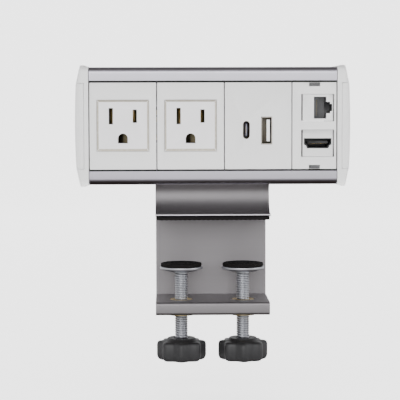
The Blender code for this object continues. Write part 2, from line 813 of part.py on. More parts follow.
def build_bus_bars(unit, first_centre, last_centre):
    for word, z in bus_levels().items():
        low = first_centre - BLADE_SPREAD - BUS_OVERHANG
        high = last_centre + BLADE_SPREAD + BUS_OVERHANG
        part(
            f"{word}_bus_bar",
            block(
                (low, BUS_FRONT, z - BUS_HEIGHT / 2),
                (high, BUS_FRONT + BUS_THICKNESS, z + BUS_HEIGHT / 2),
            ),
            "brass",
            unit,
        )


def stadium(size, grow=0.0):
    """Slot with round ends, taller than wide."""
    width = size[0] + 2 * grow
    return rounded_rectangle(width, size[1] + 2 * grow, width / 2 - WELD, 5)


def shift(loop, place):
    return [(x + place[0], z + place[1]) for x, z in loop]


def build_usb_module(unit, centre):
    module = frame("usb_module", unit, (centre, 0, 0))
    plate = faceplate("usb_faceplate", USB_WIDTH, module)
    c_place, a_place = USB_C_PLACE, USB_A_PLACE
    c_loop = shift(stadium(USB_C_SIZE), c_place)
    cut(plate, prism([c_loop], -OVERCUT, FACE_THICKNESS + OVERCUT, "XZ"))
    cut(plate, centred_block(USB_A_SIZE, -OVERCUT, FACE_THICKNESS + OVERCUT, *a_place))

    shell_front = FACE_RECESS + SNUG
    shell_back = shell_front + USB_DEPTH
    outer = shift(stadium(USB_C_SIZE, -SNUG), c_place)
    inner = shift(stadium(USB_C_SIZE, -SNUG - USB_SHELL_WALL), c_place)
    part("usb_c_shell", prism([outer, inner], shell_front, shell_back, "XZ"), "nickel", module)
    core = shift(stadium(USB_C_SIZE, -2 * SNUG - USB_SHELL_WALL), c_place)
    plug_back = shell_back + TONGUE_TAIL
    core_solid = prism([core], shell_back - TONGUE_ROOT, plug_back, "XZ")
    tongue = part("usb_c_tongue", core_solid, "black_plastic", module)
    tip = shell_front + TONGUE_RECESS
    root = shell_back - TONGUE_ROOT + CLEARANCE
    join(tongue, centred_block(USB_C_TONGUE, tip, root, *c_place))

    wall = 2 * USB_SHELL_WALL
    outer_size = (USB_A_SIZE[0] - 2 * SNUG, USB_A_SIZE[1] - 2 * SNUG)
    inner_size = (outer_size[0] - wall, outer_size[1] - wall)
    outer = shift(rounded_rectangle(*outer_size, USB_A_CORNERS[0], 2), a_place)
    inner = shift(rounded_rectangle(*inner_size, USB_A_CORNERS[1], 2), a_place)
    part("usb_a_shell", prism([outer, inner], shell_front, shell_back, "XZ"), "nickel", module)
    core_size = (inner_size[0] - 2 * SNUG, inner_size[1] - 2 * SNUG)
    tongue = part(
        "usb_a_tongue",
        centred_block(core_size, shell_back - TONGUE_ROOT, plug_back, *a_place),
        "white_plastic",
        module,
    )
    place = (a_place[0] + USB_A_TONGUE_SHIFT, a_place[1])
    join(tongue, centred_block(USB_A_TONGUE, tip, root, *place))

    case_back = CHARGER_FRONT + CHARGER_DEPTH
    case = part(
        "usb_charger_case",
        centred_block(CHARGER_CASE, CHARGER_FRONT, case_back),
        "black_plastic",
        module,
    )
    hollow = (CHARGER_CASE[0] - 2 * CASE_WALL, CHARGER_CASE[1] - 2 * CASE_WALL)
    cut(case, centred_block(hollow, CHARGER_FRONT - OVERCUT, case_back - CASE_WALL))
    board = (hollow[0] - 2 * CLEARANCE, hollow[1] - 2 * CLEARANCE)
    board_front = CHARGER_FRONT + CLEARANCE
    part(
        "usb_circuit_board",
        centred_block(board, board_front, board_front + BOARD_THICKNESS),
        "circuit_board",
        module,
    )


def rj45_outline():
    """Jack opening on its side, about its own middle, with the latch notch stepped out to +x."""
    width, height = RJ45_OPENING
    half = width / 2
    (step_1, height_1), (step_2, height_2) = RJ45_NOTCH_STEPS
    upper = [
        (-half, height / 2),
        (half, height / 2),
        (half, height_1 / 2),
        (half + step_1, height_1 / 2),
        (half + step_1, height_2 / 2),
        (half + step_2, height_2 / 2),
    ]
    return upper + [(x, -z) for x, z in reversed(upper)]


def hdmi_outline(shrink=0.0):
    """Socket outline, wide at the top, with both lower corners cut in."""
    half = HDMI_OPENING[0] / 2 - shrink
    top = HDMI_OPENING[1] / 2 - shrink
    corner_x, corner_z = HDMI_CORNER
    knee_x, knee_z = HDMI_CORNER_KNEE
    right = [
        (half, top),
        (half, -top + corner_z),
        (half - corner_x * knee_x, -top + corner_z * knee_z),
        (half - corner_x, -top),
    ]
    loop = right + [(-x, z) for x, z in reversed(right)]
    return shift(loop, (COUPLER_SHIFT, HDMI_RISE))


def build_data_module(unit, centre):
    module = frame("data_module", unit, (centre, 0, 0))
    plate = faceplate("data_faceplate", DATA_WIDTH, module)
    window = (COUPLER_SIZE[0] + 2 * COUPLER_SLIT, COUPLER_SIZE[1] + 2 * SNUG)
    front, back = FACE_RECESS, FACE_RECESS + COUPLER_DEPTH
    bodies = {}
    for word, rise in (("rj45", RJ45_RISE), ("hdmi", HDMI_RISE)):
        cut(
            plate,
            centred_block(window, -OVERCUT, FACE_THICKNESS + OVERCUT, COUPLER_SHIFT, rise),
        )
        bodies[word] = part(
            f"{word}_coupler_body",
            centred_block(COUPLER_SIZE, front, back, COUPLER_SHIFT, rise),
            "white_plastic" if word == "rj45" else "receptacle_plastic",
            module,
        )
    for end in (1, -1):
        z = end * (FACE_HALF - LATCH_SIZE[1] / 2)
        notch = (LATCH_SIZE[0], LATCH_SIZE[1] + OVERCUT)
        cut(plate, centred_block(notch, -OVERCUT, RIM_FRONT - SNUG, 0, z + end * OVERCUT / 2))
        latch = (LATCH_SIZE[0] - 2 * CLEARANCE, LATCH_SIZE[1] - 2 * CLEARANCE)
        part(
            "data_latch_top" if end > 0 else "data_latch_bottom",
            centred_block(latch, FACE_RECESS + LATCH_RECESS, RIM_FRONT - SNUG - CLEARANCE, 0, z),
            "grey_plastic",
            module,
        )

    jack = shift(rj45_outline(), (RJ45_SHIFT, RJ45_RISE))
    cut(bodies["rj45"], prism([jack], -OVERCUT, front + RJ45_DEPTH, "XZ"))
    notch_middle = RJ45_NOTCH_STEPS[-1][0] / 2
    upright = [(z, x - notch_middle) for x, z in rj45_outline()]
    rear_jack = shift(upright, (COUPLER_SHIFT, RJ45_RISE))
    cut(bodies["rj45"], prism([rear_jack], back - RJ45_DEPTH, back + OVERCUT, "XZ"))
    comb_x = RJ45_SHIFT - RJ45_OPENING[0] / 2 + CLEARANCE
    comb_half = RJ45_OPENING[1] / 2 - CLEARANCE
    comb = part(
        "rj45_contact_comb",
        block(
            (comb_x, front + COMB_RECESS, RJ45_RISE - comb_half),
            (comb_x + COMB_THICKNESS, front + RJ45_DEPTH - CLEARANCE, RJ45_RISE + comb_half),
        ),
        "brass",
        module,
    )
    for i in range(COMB_WIRES):
        z = RJ45_RISE + (i - (COMB_WIRES - 1) / 2) * WIRE_PITCH
        wire = block(
            (comb_x + COMB_THICKNESS - SNUG, front + WIRE_SPAN[0], z - WIRE_WIDTH / 2),
            (comb_x + COMB_THICKNESS + WIRE_PROUD, front + WIRE_SPAN[1], z + WIRE_WIDTH / 2),
        )
        join(comb, wire)

    cut(bodies["hdmi"], prism([hdmi_outline()], -OVERCUT, front + HDMI_DEPTH, "XZ"))
    cut(bodies["hdmi"], prism([hdmi_outline()], back - HDMI_DEPTH, back + OVERCUT, "XZ"))
    shell = [hdmi_outline(SNUG), hdmi_outline(SNUG + HDMI_SHELL_WALL)]
    shell_front, shell_back = front + SNUG, front + HDMI_DEPTH - CLEARANCE
    part("hdmi_shell", prism(shell, shell_front, shell_back, "XZ"), "black_plastic", module)
    core = hdmi_outline(2 * SNUG + HDMI_SHELL_WALL)
    root = shell_back - TONGUE_ROOT
    tongue = part("hdmi_tongue", prism([core], root, shell_back, "XZ"), "black_plastic", module)
    place = (COUPLER_SHIFT, HDMI_RISE + HDMI_TONGUE_RISE)
    tip = shell_front + TONGUE_RECESS
    join(tongue, centred_block(HDMI_TONGUE, tip, root + CLEARANCE, *place))


# ---- Mains inlet ---------------------------------------------------------------------------------


def chamfered(size, corner):
    """Rectangle with its two upper corners cut off, as (x, z)."""
    half, top = size[0] / 2, size[1] / 2
    right = [(half, -top), (half, top - corner), (half - corner, top)]
    return right + [(-x, z) for x, z in reversed(right)]


def build_inlet(unit):
    inlet = frame("mains_inlet", unit, (INLET_X, BODY_DEPTH, 0))
    flange = rounded_rectangle(*INLET_FLANGE, INLET_FLANGE_CORNER, 3)
    housing = part(
        "inlet_housing",
        prism([flange], CLEARANCE, CLEARANCE + INLET_FLANGE_THICKNESS, "XZ"),
        "black_plastic",
        inlet,
    )
    join(housing, centred_block(INLET_BODY, -INLET_DEPTH, CLEARANCE + SNUG))
    mouth = CLEARANCE + INLET_FLANGE_THICKNESS + OVERCUT
    cavity_floor = INLET_BASE - INLET_DEPTH
    cut(housing, prism([chamfered(INLET_CAVITY, INLET_CORNER)], cavity_floor, mouth, "XZ"))
    tab_front = BUS_FRONT + BUS_THICKNESS + CLEARANCE - BODY_DEPTH
    riser_back = -INLET_DEPTH - CLEARANCE
    pins = (
        ("neutral", -PIN_SPREAD, -PIN_RISE),
        ("line", PIN_SPREAD, -PIN_RISE),
        ("ground", 0, PIN_RISE),
    )
    for word, x, z in pins:
        level = bus_levels()[word]
        size = (PIN_THICKNESS, PIN_WIDTH)
        hole = (size[0] + 2 * SNUG, size[1] + 2 * SNUG)
        cut(housing, centred_block(hole, -INLET_DEPTH - OVERCUT, cavity_floor + OVERCUT, x, z))
        pin = part(
            f"inlet_{word}_pin",
            centred_block(size, riser_back - PIN_THICKNESS / 2, -PIN_SHORTFALL, x, z),
            "nickel",
            inlet,
        )
        low, high = sorted((z, level))
        riser = block(
            (x - PIN_THICKNESS / 2, riser_back - PIN_THICKNESS, low - PIN_THICKNESS / 2),
            (x + PIN_THICKNESS / 2, riser_back, high + PIN_THICKNESS / 2),
        )
        join(pin, riser)
        tab = (PIN_THICKNESS, PIN_TAB_HEIGHT)
        join(pin, centred_block(tab, tab_front, riser_back - PIN_THICKNESS / 2, x, level))


# ---- Bracket and clamp ---------------------------------------------------------------------------


def bracket_section():
    """Outline of the bracket across its width, with the hollow in its neck, as (y, z)."""
    lip_top = FOOT_UNDERSIDE + LIP_THICKNESS
    arc_y = LIP_Y + LIP_FLAT
    arc_z = lip_top + NECK_LOWER_RADIUS
    deepest = arc_y + NECK_LOWER_RADIUS
    upper_y = deepest - NECK_UPPER_RADIUS
    sweep = math.degrees(math.asin(NECK_UPPER_RISE / NECK_UPPER_RADIUS))
    web_back = WEB_Y + WEB_THICKNESS
    nose = LIP_THICKNESS / 2
    round_ = BRACKET_ROUND
    outline = arc((LIP_Y + nose, FOOT_UNDERSIDE + nose), nose - WELD, 260, 100, 6)
    outline += arc((arc_y, arc_z), NECK_LOWER_RADIUS, 270, 360, 12)
    outline += arc((upper_y, arc_z), NECK_UPPER_RADIUS, 0, sweep, 6)[1:]
    outline += arc((web_back - round_, NECK_TOP - round_), round_, 90, 0, 4)
    outline += arc((web_back - round_, JAW_BOTTOM + round_), round_, 0, -90, 4)
    jaw_front = WEB_Y - JAW_REACH
    outline += arc((jaw_front + round_, JAW_BOTTOM + round_), round_, -90, -180, 4)
    outline += arc((jaw_front + round_, JAW_TOP - round_), round_, 180, 90, 4)
    outline += [(WEB_Y, JAW_TOP), (WEB_Y, FOOT_UNDERSIDE)]
    inner_front = deepest + NECK_WALL
    chamber_low = FOOT_UNDERSIDE + FOOT_PLATE
    chamber_high = NECK_TOP - TOP_PLATE
    chamber = arc((WEB_Y - round_, chamber_low + round_), round_, -90, 0, 3)
    chamber += arc((WEB_Y - round_, chamber_high - round_), round_, 0, 90, 3)
    chamber += arc((inner_front + round_, chamber_high - round_), round_, 90, 180, 3)
    chamber += arc((inner_front + round_, chamber_low + round_), round_, 180, 270, 3)
    return [outline, chamber]


def build_bracket():
    bracket = part(
        "bracket",
        prism(bracket_section(), -BRACKET_WIDTH / 2, BRACKET_WIDTH / 2, "YZ"),
        "anodised_aluminium",
    )
    pad_size = (BRACKET_WIDTH - 2 * PAD_INSET, FOOT_DEPTH - 2 * PAD_INSET)
    part(
        "foot_pad",
        prism([rounded_rectangle(*pad_size, PAD_CORNER, 3)], 0, PAD_THICKNESS, "XY"),
        "black_rubber",
    )
    floor = BODY_UNDERSIDE + HOUSING_WALL + CLEARANCE
    tip = NECK_TOP - TOP_PLATE - BRACKET_SCREW_TIP
    for word, side in (("left", -1), ("right", 1)):
        place = (side * BRACKET_SCREW_SPREAD, BRACKET_SCREW_Y, 0)
        hole_low, hole_high = NECK_TOP - TOP_PLATE - OVERCUT, NECK_TOP + OVERCUT
        cut(bracket, rod(CAP_SCREW_SHANK + CLEARANCE + SNUG, hole_low, hole_high, sides=16), place)
        turned(
            f"bracket_screw_{word}",
            [
                (0, floor + CAP_SCREW_HEAD_HEIGHT),
                (CAP_SCREW_HEAD * 0.8, floor + CAP_SCREW_HEAD_HEIGHT),
                (CAP_SCREW_HEAD, floor + CAP_SCREW_HEAD_HEIGHT * 0.5),
                (CAP_SCREW_HEAD, floor),
                (CAP_SCREW_SHANK, floor),
                (CAP_SCREW_SHANK, tip),
                (0, tip - CAP_SCREW_SHANK),
            ],
            "zinc_steel",
            None,
            place,
            sides=16,
        )
    for side in (-1, 1):
        hole = rod(BUSH_RADIUS + SNUG, JAW_BOTTOM - OVERCUT, JAW_TOP + OVERCUT)
        cut(bracket, hole, (side * CLAMP_SPREAD, 0, 0))


def knob_outline():
    """Round grip with shallow lobes, as (x, y)."""
    steps = KNOB_LOBES * 6
    loop = []
    for i in range(steps):
        angle = 2 * math.pi * i / steps
        radius = KNOB_RADIUS + KNOB_LOBE * math.cos(KNOB_LOBES * angle)
        loop.append((radius * math.cos(angle), radius * math.sin(angle)))
    return loop


def build_clamp(index, x):
    """Thumb screw through the lower jaw, with a swivelling pressure disc on its tip."""
    clamp = frame(f"clamp_{index}", None, (x, 0, 0))
    name = f"clamp_{index}"
    bush_low = JAW_BOTTOM - CLEARANCE
    turned(
        f"{name}_bush",
        [
            (BUSH_BORE, JAW_TOP),
            (BUSH_RADIUS, JAW_TOP),
            (BUSH_RADIUS, bush_low),
            (BUSH_FLANGE, bush_low),
            (BUSH_FLANGE, bush_low - BUSH_FLANGE_THICKNESS),
            (BUSH_BORE, bush_low - BUSH_FLANGE_THICKNESS),
            (BUSH_BORE, JAW_TOP),
        ],
        "brass",
        clamp,
    )
    face_top = -DESK_THICKNESS
    face_low = face_top - FACE_PAD_THICKNESS
    turned(
        f"{name}_pad_face",
        [
            (0, face_top),
            (FACE_PAD_RADIUS - FACE_PAD_EDGE, face_top),
            (FACE_PAD_RADIUS, face_top - FACE_PAD_EDGE),
            (FACE_PAD_RADIUS, face_low),
            (0, face_low),
        ],
        "black_rubber",
        clamp,
    )
    disc_top = face_low - CLEARANCE
    disc_low = disc_top - DISC_THICKNESS
    socket_roof = disc_low + SOCKET_DEPTH
    turned(
        f"{name}_pressure_disc",
        [
            (0, disc_top),
            (DISC_RADIUS - DISC_EDGE, disc_top),
            (DISC_RADIUS, disc_top - DISC_EDGE),
            (DISC_RADIUS, disc_top - DISC_RIM),
            (SCREW_RADIUS + DISC_HUB_WALL, disc_low),
            (SCREW_RADIUS + CLEARANCE, disc_low),
            (SCREW_RADIUS + CLEARANCE, socket_roof),
            (0, socket_roof),
        ],
        "zinc_steel",
        clamp,
    )
    screw_top = socket_roof - CLEARANCE
    travel_up = DESK_THICKNESS - THINNEST_DESK
    knob_top = bush_low - BUSH_FLANGE_THICKNESS - OVERCUT - travel_up
    bore_floor = knob_top - KNOB_BORE_DEPTH
    turned(
        f"{name}_screw",
        [
            (0, screw_top),
            (SCREW_RADIUS - SCREW_CHAMFER, screw_top),
            (SCREW_RADIUS, screw_top - SCREW_CHAMFER),
            (SCREW_RADIUS, bore_floor + CLEARANCE),
            (0, bore_floor + CLEARANCE),
        ],
        "zinc_steel",
        clamp,
    )
    knob = part(
        f"{name}_knob",
        prism([knob_outline()], knob_top - KNOB_HEIGHT, knob_top, "XY"),
        "black_plastic",
        clamp,
    )
    round_edges(knob, KNOB_EDGE, 2, 60)
    cut(knob, rod(SCREW_RADIUS + CLEARANCE, bore_floor, knob_top + OVERCUT))


def build():
    unit = frame("unit", None, (0, BODY_FRONT, BODY_MIDDLE))
    build_housing(unit)
    build_end_cap(unit, "left", -1)
    build_end_cap(unit, "right", 1)
    centres = []
    edge = -BODY_LENGTH / 2
    for width in MODULE_WIDTHS:
        centres.append(edge + width / 2)
        edge += width
    build_outlet(unit, 1, centres[0])
    build_outlet(unit, 2, centres[1])
    build_usb_module(unit, centres[2])
    build_data_module(unit, centres[3])
    build_bus_bars(unit, centres[0], centres[1])
    build_inlet(unit)
    build_bracket()
    build_clamp(1, -CLAMP_SPREAD)
    build_clamp(2, CLAMP_SPREAD)


build()
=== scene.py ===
import math

import bmesh
import bpy
from mathutils import Matrix, Vector


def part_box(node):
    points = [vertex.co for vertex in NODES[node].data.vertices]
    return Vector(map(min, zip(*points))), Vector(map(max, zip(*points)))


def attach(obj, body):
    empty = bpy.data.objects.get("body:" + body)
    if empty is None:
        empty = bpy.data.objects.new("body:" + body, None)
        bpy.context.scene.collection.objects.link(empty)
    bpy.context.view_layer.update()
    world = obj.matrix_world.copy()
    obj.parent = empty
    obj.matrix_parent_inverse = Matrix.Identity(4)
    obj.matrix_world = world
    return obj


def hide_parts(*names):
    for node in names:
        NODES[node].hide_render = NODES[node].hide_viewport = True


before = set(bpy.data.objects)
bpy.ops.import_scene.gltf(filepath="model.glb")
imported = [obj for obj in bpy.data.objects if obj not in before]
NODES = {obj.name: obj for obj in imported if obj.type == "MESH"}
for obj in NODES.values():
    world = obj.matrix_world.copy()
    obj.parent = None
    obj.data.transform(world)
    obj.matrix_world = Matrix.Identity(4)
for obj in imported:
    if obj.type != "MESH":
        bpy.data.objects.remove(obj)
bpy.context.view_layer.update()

bl_info = {
    "name": "Desk Power Unit",
    "version": (1, 0, 0),
    "blender": (4, 5, 0),
    "location": "View3D > Sidebar > Power Unit",
    "description": "Finished pieces, finishes and stage for a clamp-on desk power and data unit",
    "category": "Add Mesh",
}

WELD = 0.000002
GAP = 0.0003


# ---- Places taken from the frame -----------------------------------------------------------------


def low(node):
    return Vector(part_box(node)[0])


def high(node):
    return Vector(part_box(node)[1])


def middle(node):
    return (low(node) + high(node)) / 2


HOUSING_LOW = low("housing_extrusion")
HOUSING_HIGH = high("housing_extrusion")
FRONT = HOUSING_LOW.y
LEVEL = middle("housing_extrusion").z
HALF_HEIGHT = (HOUSING_HIGH.z - HOUSING_LOW.z) / 2
DEPTH = HOUSING_HIGH.y - FRONT


# ---- Settings ------------------------------------------------------------------------------------


def length_setting(label, about, value, least):
    return bpy.props.FloatProperty(
        name=label, description=about, default=value, min=least, unit="LENGTH"
    )


def colour_setting(label, about, value):
    return bpy.props.FloatVectorProperty(
        name=label, description=about, default=value, subtype="COLOR", size=3, min=0.0, max=1.0
    )


class PowerUnitShape(bpy.types.PropertyGroup):
    """Sizes of the finished pieces."""

    edge_round: length_setting(
        "Moulded Edge", "Rounding on the edges of moulded plastic pieces", 0.00016, 0.0
    )
    metal_edge: length_setting("Metal Edge", "Break on the cut edges of metal pieces", 0.00018, 0.0)
    corner_radius: length_setting(
        "Housing Corner", "Radius of the housing's long corners", 0.0033, 0.0005
    )
    thread_pitch: length_setting(
        "Thread Pitch", "Rise of the clamp screws' thread in one turn", 0.00125, 0.0004
    )
    knob_lobes: bpy.props.IntProperty(
        name="Knob Lobes",
        description="Number of finger grips round a clamp knob",
        default=8,
        min=3,
        max=16,
    )
    pad_rib_pitch: length_setting(
        "Pad Rib Pitch", "Distance between the ribs under the foot pad", 0.0025, 0.001
    )


class PowerUnitFinish(bpy.types.PropertyGroup):
    """Colours of the finishes."""

    aluminium: colour_setting("Anodised Aluminium", "Colour of the housing", (0.60, 0.585, 0.65))
    plastic: colour_setting(
        "White Plastic", "Colour of the faceplates and end caps", (0.68, 0.68, 0.675)
    )
    receptacle: colour_setting(
        "Receptacle Plastic", "Colour of the outlet fronts", (0.70, 0.69, 0.70)
    )
    latch: colour_setting("Latch Grey", "Colour of the latches", (0.070, 0.070, 0.072))
    brass: colour_setting("Brass", "Colour of the contacts", (0.80, 0.64, 0.33))


class PowerUnitStage(bpy.types.PropertyGroup):
    """Camera, floor and lights."""

    lens: bpy.props.FloatProperty(
        name="Lens",
        description="Focal length of the camera",
        default=135.0,
        min=20.0,
        subtype="DISTANCE_CAMERA",
        unit="CAMERA",
    )
    floor_level: length_setting(
        "Floor Level", "Height of the floor, below the clamp knobs at their lowest", -0.0955, -10.0
    )
    room_light: bpy.props.FloatProperty(
        name="Room Light",
        description="Strength of the even light from all sides",
        default=0.95,
        min=0.0,
    )
    card_glow: bpy.props.FloatProperty(
        name="Card Glow",
        description="Even light of the backdrop card, which keeps it near white",
        default=2.0,
        min=0.0,
    )
    key_light: bpy.props.FloatProperty(
        name="Key Light",
        description="Power of the soft light in front",
        default=13.0,
        min=0.0,
        unit="POWER",
    )


def settings():
    scene = bpy.context.scene
    return scene.power_unit_shape, scene.power_unit_finish, scene.power_unit_stage


# ---- Nodes ---------------------------------------------------------------------------------------


def put(tree, socket, value):
    """Input linked to a socket or set to a value."""
    if isinstance(value, bpy.types.NodeSocket):
        tree.links.new(value, socket)
    else:
        socket.default_value = value


def add(tree, kind, *sources, **values):
    """Node with its settings made and its inputs filled, by name and in order."""
    node = tree.nodes.new(kind)
    for key, value in values.items():
        if hasattr(node, key):
            setattr(node, key, value)
        else:
            put(tree, node.inputs[key.replace("_", " ")], value)
    for socket, value in zip(node.inputs, sources):
        put(tree, socket, value)
    return node


def maths(tree, operation, first, second, clamp=False):
    """Math node on two sockets or numbers."""
    node = add(tree, "ShaderNodeMath", first, second, operation=operation, use_clamp=clamp)
    return node.outputs[0]


def product(tree, first, *others):
    for other in others:
        first = maths(tree, "MULTIPLY", first, other)
    return first


def spread(tree, value, ends, result=(0.0, 1.0)):
    """Value carried from one range to another, held at its ends."""
    node = add(tree, "ShaderNodeMapRange", Value=value)
    labels = ("From Min", "From Max", "To Min", "To Max")
    for label, number in zip(labels, (*ends, *result)):
        node.inputs[label].default_value = number
    return node.outputs["Result"]


def noise(tree, vector, scale, detail, roughness=0.55):
    values = {"Vector": vector, "Scale": scale, "Detail": detail, "Roughness": roughness}
    return add(tree, "ShaderNodeTexNoise", **values).outputs["Fac"]


def mapped(tree, vector, **values):
    return add(tree, "ShaderNodeMapping", Vector=vector, **values).outputs["Vector"]


def about_one(tree, value, amount):
    """Tone near one that follows a value about a half."""
    return maths(tree, "ADD", product(tree, maths(tree, "SUBTRACT", value, 0.5), amount), 1.0)


# ---- Shader groups -------------------------------------------------------------------------------


def shader_group(name, outputs, **inputs):
    """Group that takes a Vector and the named numbers, with the sockets inside it."""
    tree = bpy.data.node_groups.new(name, "ShaderNodeTree")
    new = tree.interface.new_socket
    new("Vector", in_out="INPUT", socket_type="NodeSocketVector")
    for label, value in inputs.items():
        socket = new(label.replace("_", " "), in_out="INPUT", socket_type="NodeSocketFloat")
        socket.default_value = value
    for label in outputs:
        new(label, in_out="OUTPUT", socket_type="NodeSocketFloat")
    return tree, tree.nodes.new("NodeGroupInput").outputs, tree.nodes.new("NodeGroupOutput").inputs


def grain_group():
    """Spark-eroded mould grain: fine height, and a slow drift of tone."""
    tree, given, made = shader_group("Mould Grain", ("Height", "Tone"), Scale=5200.0, Drift=0.03)
    vector, scale = given["Vector"], given["Scale"]
    fine = noise(tree, vector, scale, detail=3.0, roughness=0.6)
    pits = add(tree, "ShaderNodeTexVoronoi", feature="F1", Vector=vector, Scale=scale)
    pit_height = product(tree, pits.outputs["Distance"], 0.5)
    put(tree, made["Height"], maths(tree, "ADD", fine, pit_height))
    slow = noise(tree, vector, scale=55.0, detail=3.0)
    put(tree, made["Tone"], about_one(tree, slow, given["Drift"]))
    return tree


def drawn_group():
    """Fine lines that drawing or extruding leaves along X, over a bead-blasted ground."""
    tree, given, made = shader_group(
        "Drawn Lines", ("Height", "Tone"), Contrast=0.05, Blast_Scale=4200.0
    )
    along = mapped(tree, given["Vector"], Scale=(0.02, 1.0, 1.0))
    lines = noise(tree, along, scale=2600.0, detail=5.0, roughness=0.7)
    broad = noise(tree, along, scale=420.0, detail=2.0, roughness=0.5)
    blast = noise(tree, given["Vector"], given["Blast Scale"], detail=2.0, roughness=0.6)
    both = maths(tree, "ADD", product(tree, lines, 0.6), product(tree, broad, 0.4))
    put(tree, made["Height"], maths(tree, "ADD", product(tree, lines, 0.35), blast))
    put(tree, made["Tone"], about_one(tree, both, given["Contrast"]))
    return tree


def wear_group():
    """Where the outer edges are rubbed: a mask from the turn of the surface, broken by noise."""
    tree, given, made = shader_group("Edge Wear", ("Mask",), Radius=0.0005, Amount=0.5)
    soft = add(tree, "ShaderNodeBevel", samples=4, Radius=given["Radius"]).outputs["Normal"]
    true = tree.nodes.new("ShaderNodeNewGeometry").outputs["Normal"]
    dot = add(tree, "ShaderNodeVectorMath", soft, true, operation="DOT_PRODUCT")
    edge = spread(tree, dot.outputs["Value"], (0.995, 0.80))
    rubbed = noise(tree, given["Vector"], scale=900.0, detail=5.0, roughness=0.65)
    breaks = spread(tree, rubbed, (0.40, 0.62))
    put(tree, made["Mask"], product(tree, edge, breaks, given["Amount"]))
    return tree


def marks_group():
    """Hand smudges and hairline scratches."""
    tree, given, made = shader_group("Handling Marks", ("Smudge", "Scratch"), Amount=0.5)
    cloud = noise(tree, given["Vector"], scale=38.0, detail=4.0, roughness=0.6)
    cross = mapped(tree, given["Vector"], Rotation=(0.4, 0.7, 0.3), Scale=(1.0, 0.06, 1.0))
    hair = noise(tree, cross, scale=700.0, detail=2.0, roughness=0.4)
    for label, value, ends in (("Smudge", cloud, (0.42, 0.66)), ("Scratch", hair, (0.70, 0.78))):
        put(tree, made[label], product(tree, spread(tree, value, ends), given["Amount"]))
    return tree


def dust_group():
    """Light dust that settles on what faces up."""
    tree, given, made = shader_group("Settled Dust", ("Mask",), Amount=0.3)
    true = tree.nodes.new("ShaderNodeNewGeometry").outputs["Normal"]
    facing = spread(tree, add(tree, "ShaderNodeSeparateXYZ", true).outputs["Z"], (0.55, 1.0))
    grains = noise(tree, given["Vector"], scale=1500.0, detail=4.0, roughness=0.7)
    specks = spread(tree, grains, (0.45, 0.75))
    put(tree, made["Mask"], product(tree, facing, specks, given["Amount"]))
    return tree


def crevice_shade_group():
    """Painted shade in seams and on chamfers, broken by noise, from the piece's own attribute."""
    tree, given, made = shader_group("Crevice Shade", ("Mask",), Amount=1.0)
    own = add(tree, "ShaderNodeAttribute", attribute_name="crevice_shade").outputs["Fac"]
    clumps = noise(tree, given["Vector"], scale=600.0, detail=3.0, roughness=0.6)
    patches = spread(tree, clumps, (0.2, 0.6), (0.7, 1.0))
    put(tree, made["Mask"], product(tree, own, patches, given["Amount"]))
    return tree


# ---- Finishes ------------------------------------------------------------------------------------

DUST_COLOUR = (0.60, 0.58, 0.55)
SMUDGE_ROUGHER = 0.10
SCRATCH_SMOOTHER = 0.06
WEAR_SMOOTHER = 0.10
DUST_ROUGHER = 0.3


def blended(tree, mask, base, over, mode="MIX"):
    """Colour laid over another by a mask."""
    node = add(tree, "ShaderNodeMix", data_type="RGBA", blend_type=mode)
    put(tree, node.inputs["Factor"], mask)
    sockets = [each for each in node.inputs if each.type == "RGBA"]
    for socket, value in zip(sockets, (base, over)):
        put(tree, socket, (*value, 1.0) if isinstance(value, tuple) else value)
    return next(each for each in node.outputs if each.type == "RGBA")


def toned(tree, colour, tone):
    """Flat colour made lighter or darker by a tone near one."""
    grey = add(tree, "ShaderNodeCombineColor", tone, tone, tone).outputs[0]
    return blended(tree, 1.0, colour, grey, "MULTIPLY")


def finish(
    name,
    colour,
    roughness,
    metallic=0.0,
    ground="grain",
    scale=5200.0,
    drift=0.04,
    depth=0.000004,
    strength=0.25,
    wear=None,
    wear_amount=0.5,
    marks=0.4,
    dust=0.25,
    crevice_shade=None,
    specular=0.5,
    coat=0.0,
    pattern=None,
):
    """Material with a ground texture, edge wear, marks, dust and painted seam shade on a Principled
    shader.
    """
    material = bpy.data.materials.new(name)
    material.use_nodes = True
    material.diffuse_color = (*colour, 1.0)
    tree = material.node_tree
    vector = tree.nodes.new("ShaderNodeTexCoord").outputs["Object"]

    def effect(word, **values):
        group = add(tree, "ShaderNodeGroup", node_tree=tree_for(word), Vector=vector, **values)
        return group.outputs

    if ground == "drawn":
        base = effect("drawn", Contrast=drift, Blast_Scale=scale)
    else:
        base = effect("grain", Scale=scale, Drift=drift)
    tint = toned(tree, colour, base["Tone"])
    if pattern:
        tint = pattern(tree, vector, tint)
    mark = effect("marks", Amount=marks)
    rough = maths(tree, "ADD", product(tree, mark["Smudge"], SMUDGE_ROUGHER), roughness)
    rough = maths(tree, "SUBTRACT", rough, product(tree, mark["Scratch"], SCRATCH_SMOOTHER))
    if wear:
        worn = effect("wear", Amount=wear_amount)["Mask"]
        tint = blended(tree, worn, tint, wear)
        rough = maths(tree, "SUBTRACT", rough, product(tree, worn, WEAR_SMOOTHER))
    if dust:
        fallen = effect("dust", Amount=dust)["Mask"]
        tint = blended(tree, fallen, tint, DUST_COLOUR)
        rough = maths(tree, "ADD", rough, product(tree, fallen, DUST_ROUGHER), clamp=True)
    # Painted shade laid in seams and on chamfers, where the piece's attribute marks them
    if crevice_shade:
        tint = blended(tree, effect("crevice_shade", Amount=1.0)["Mask"], tint, crevice_shade)
    bump = add(tree, "ShaderNodeBump", Strength=strength, Distance=depth, Height=base["Height"])
    shader = tree.nodes["Principled BSDF"]
    for label, value in (
        ("Base Color", tint),
        ("Roughness", rough),
        ("Normal", bump.outputs["Normal"]),
        ("Metallic", metallic),
        ("Specular IOR Level", specular),
        ("Coat Weight", coat),
    ):
        put(tree, shader.inputs[label], value)
    return material


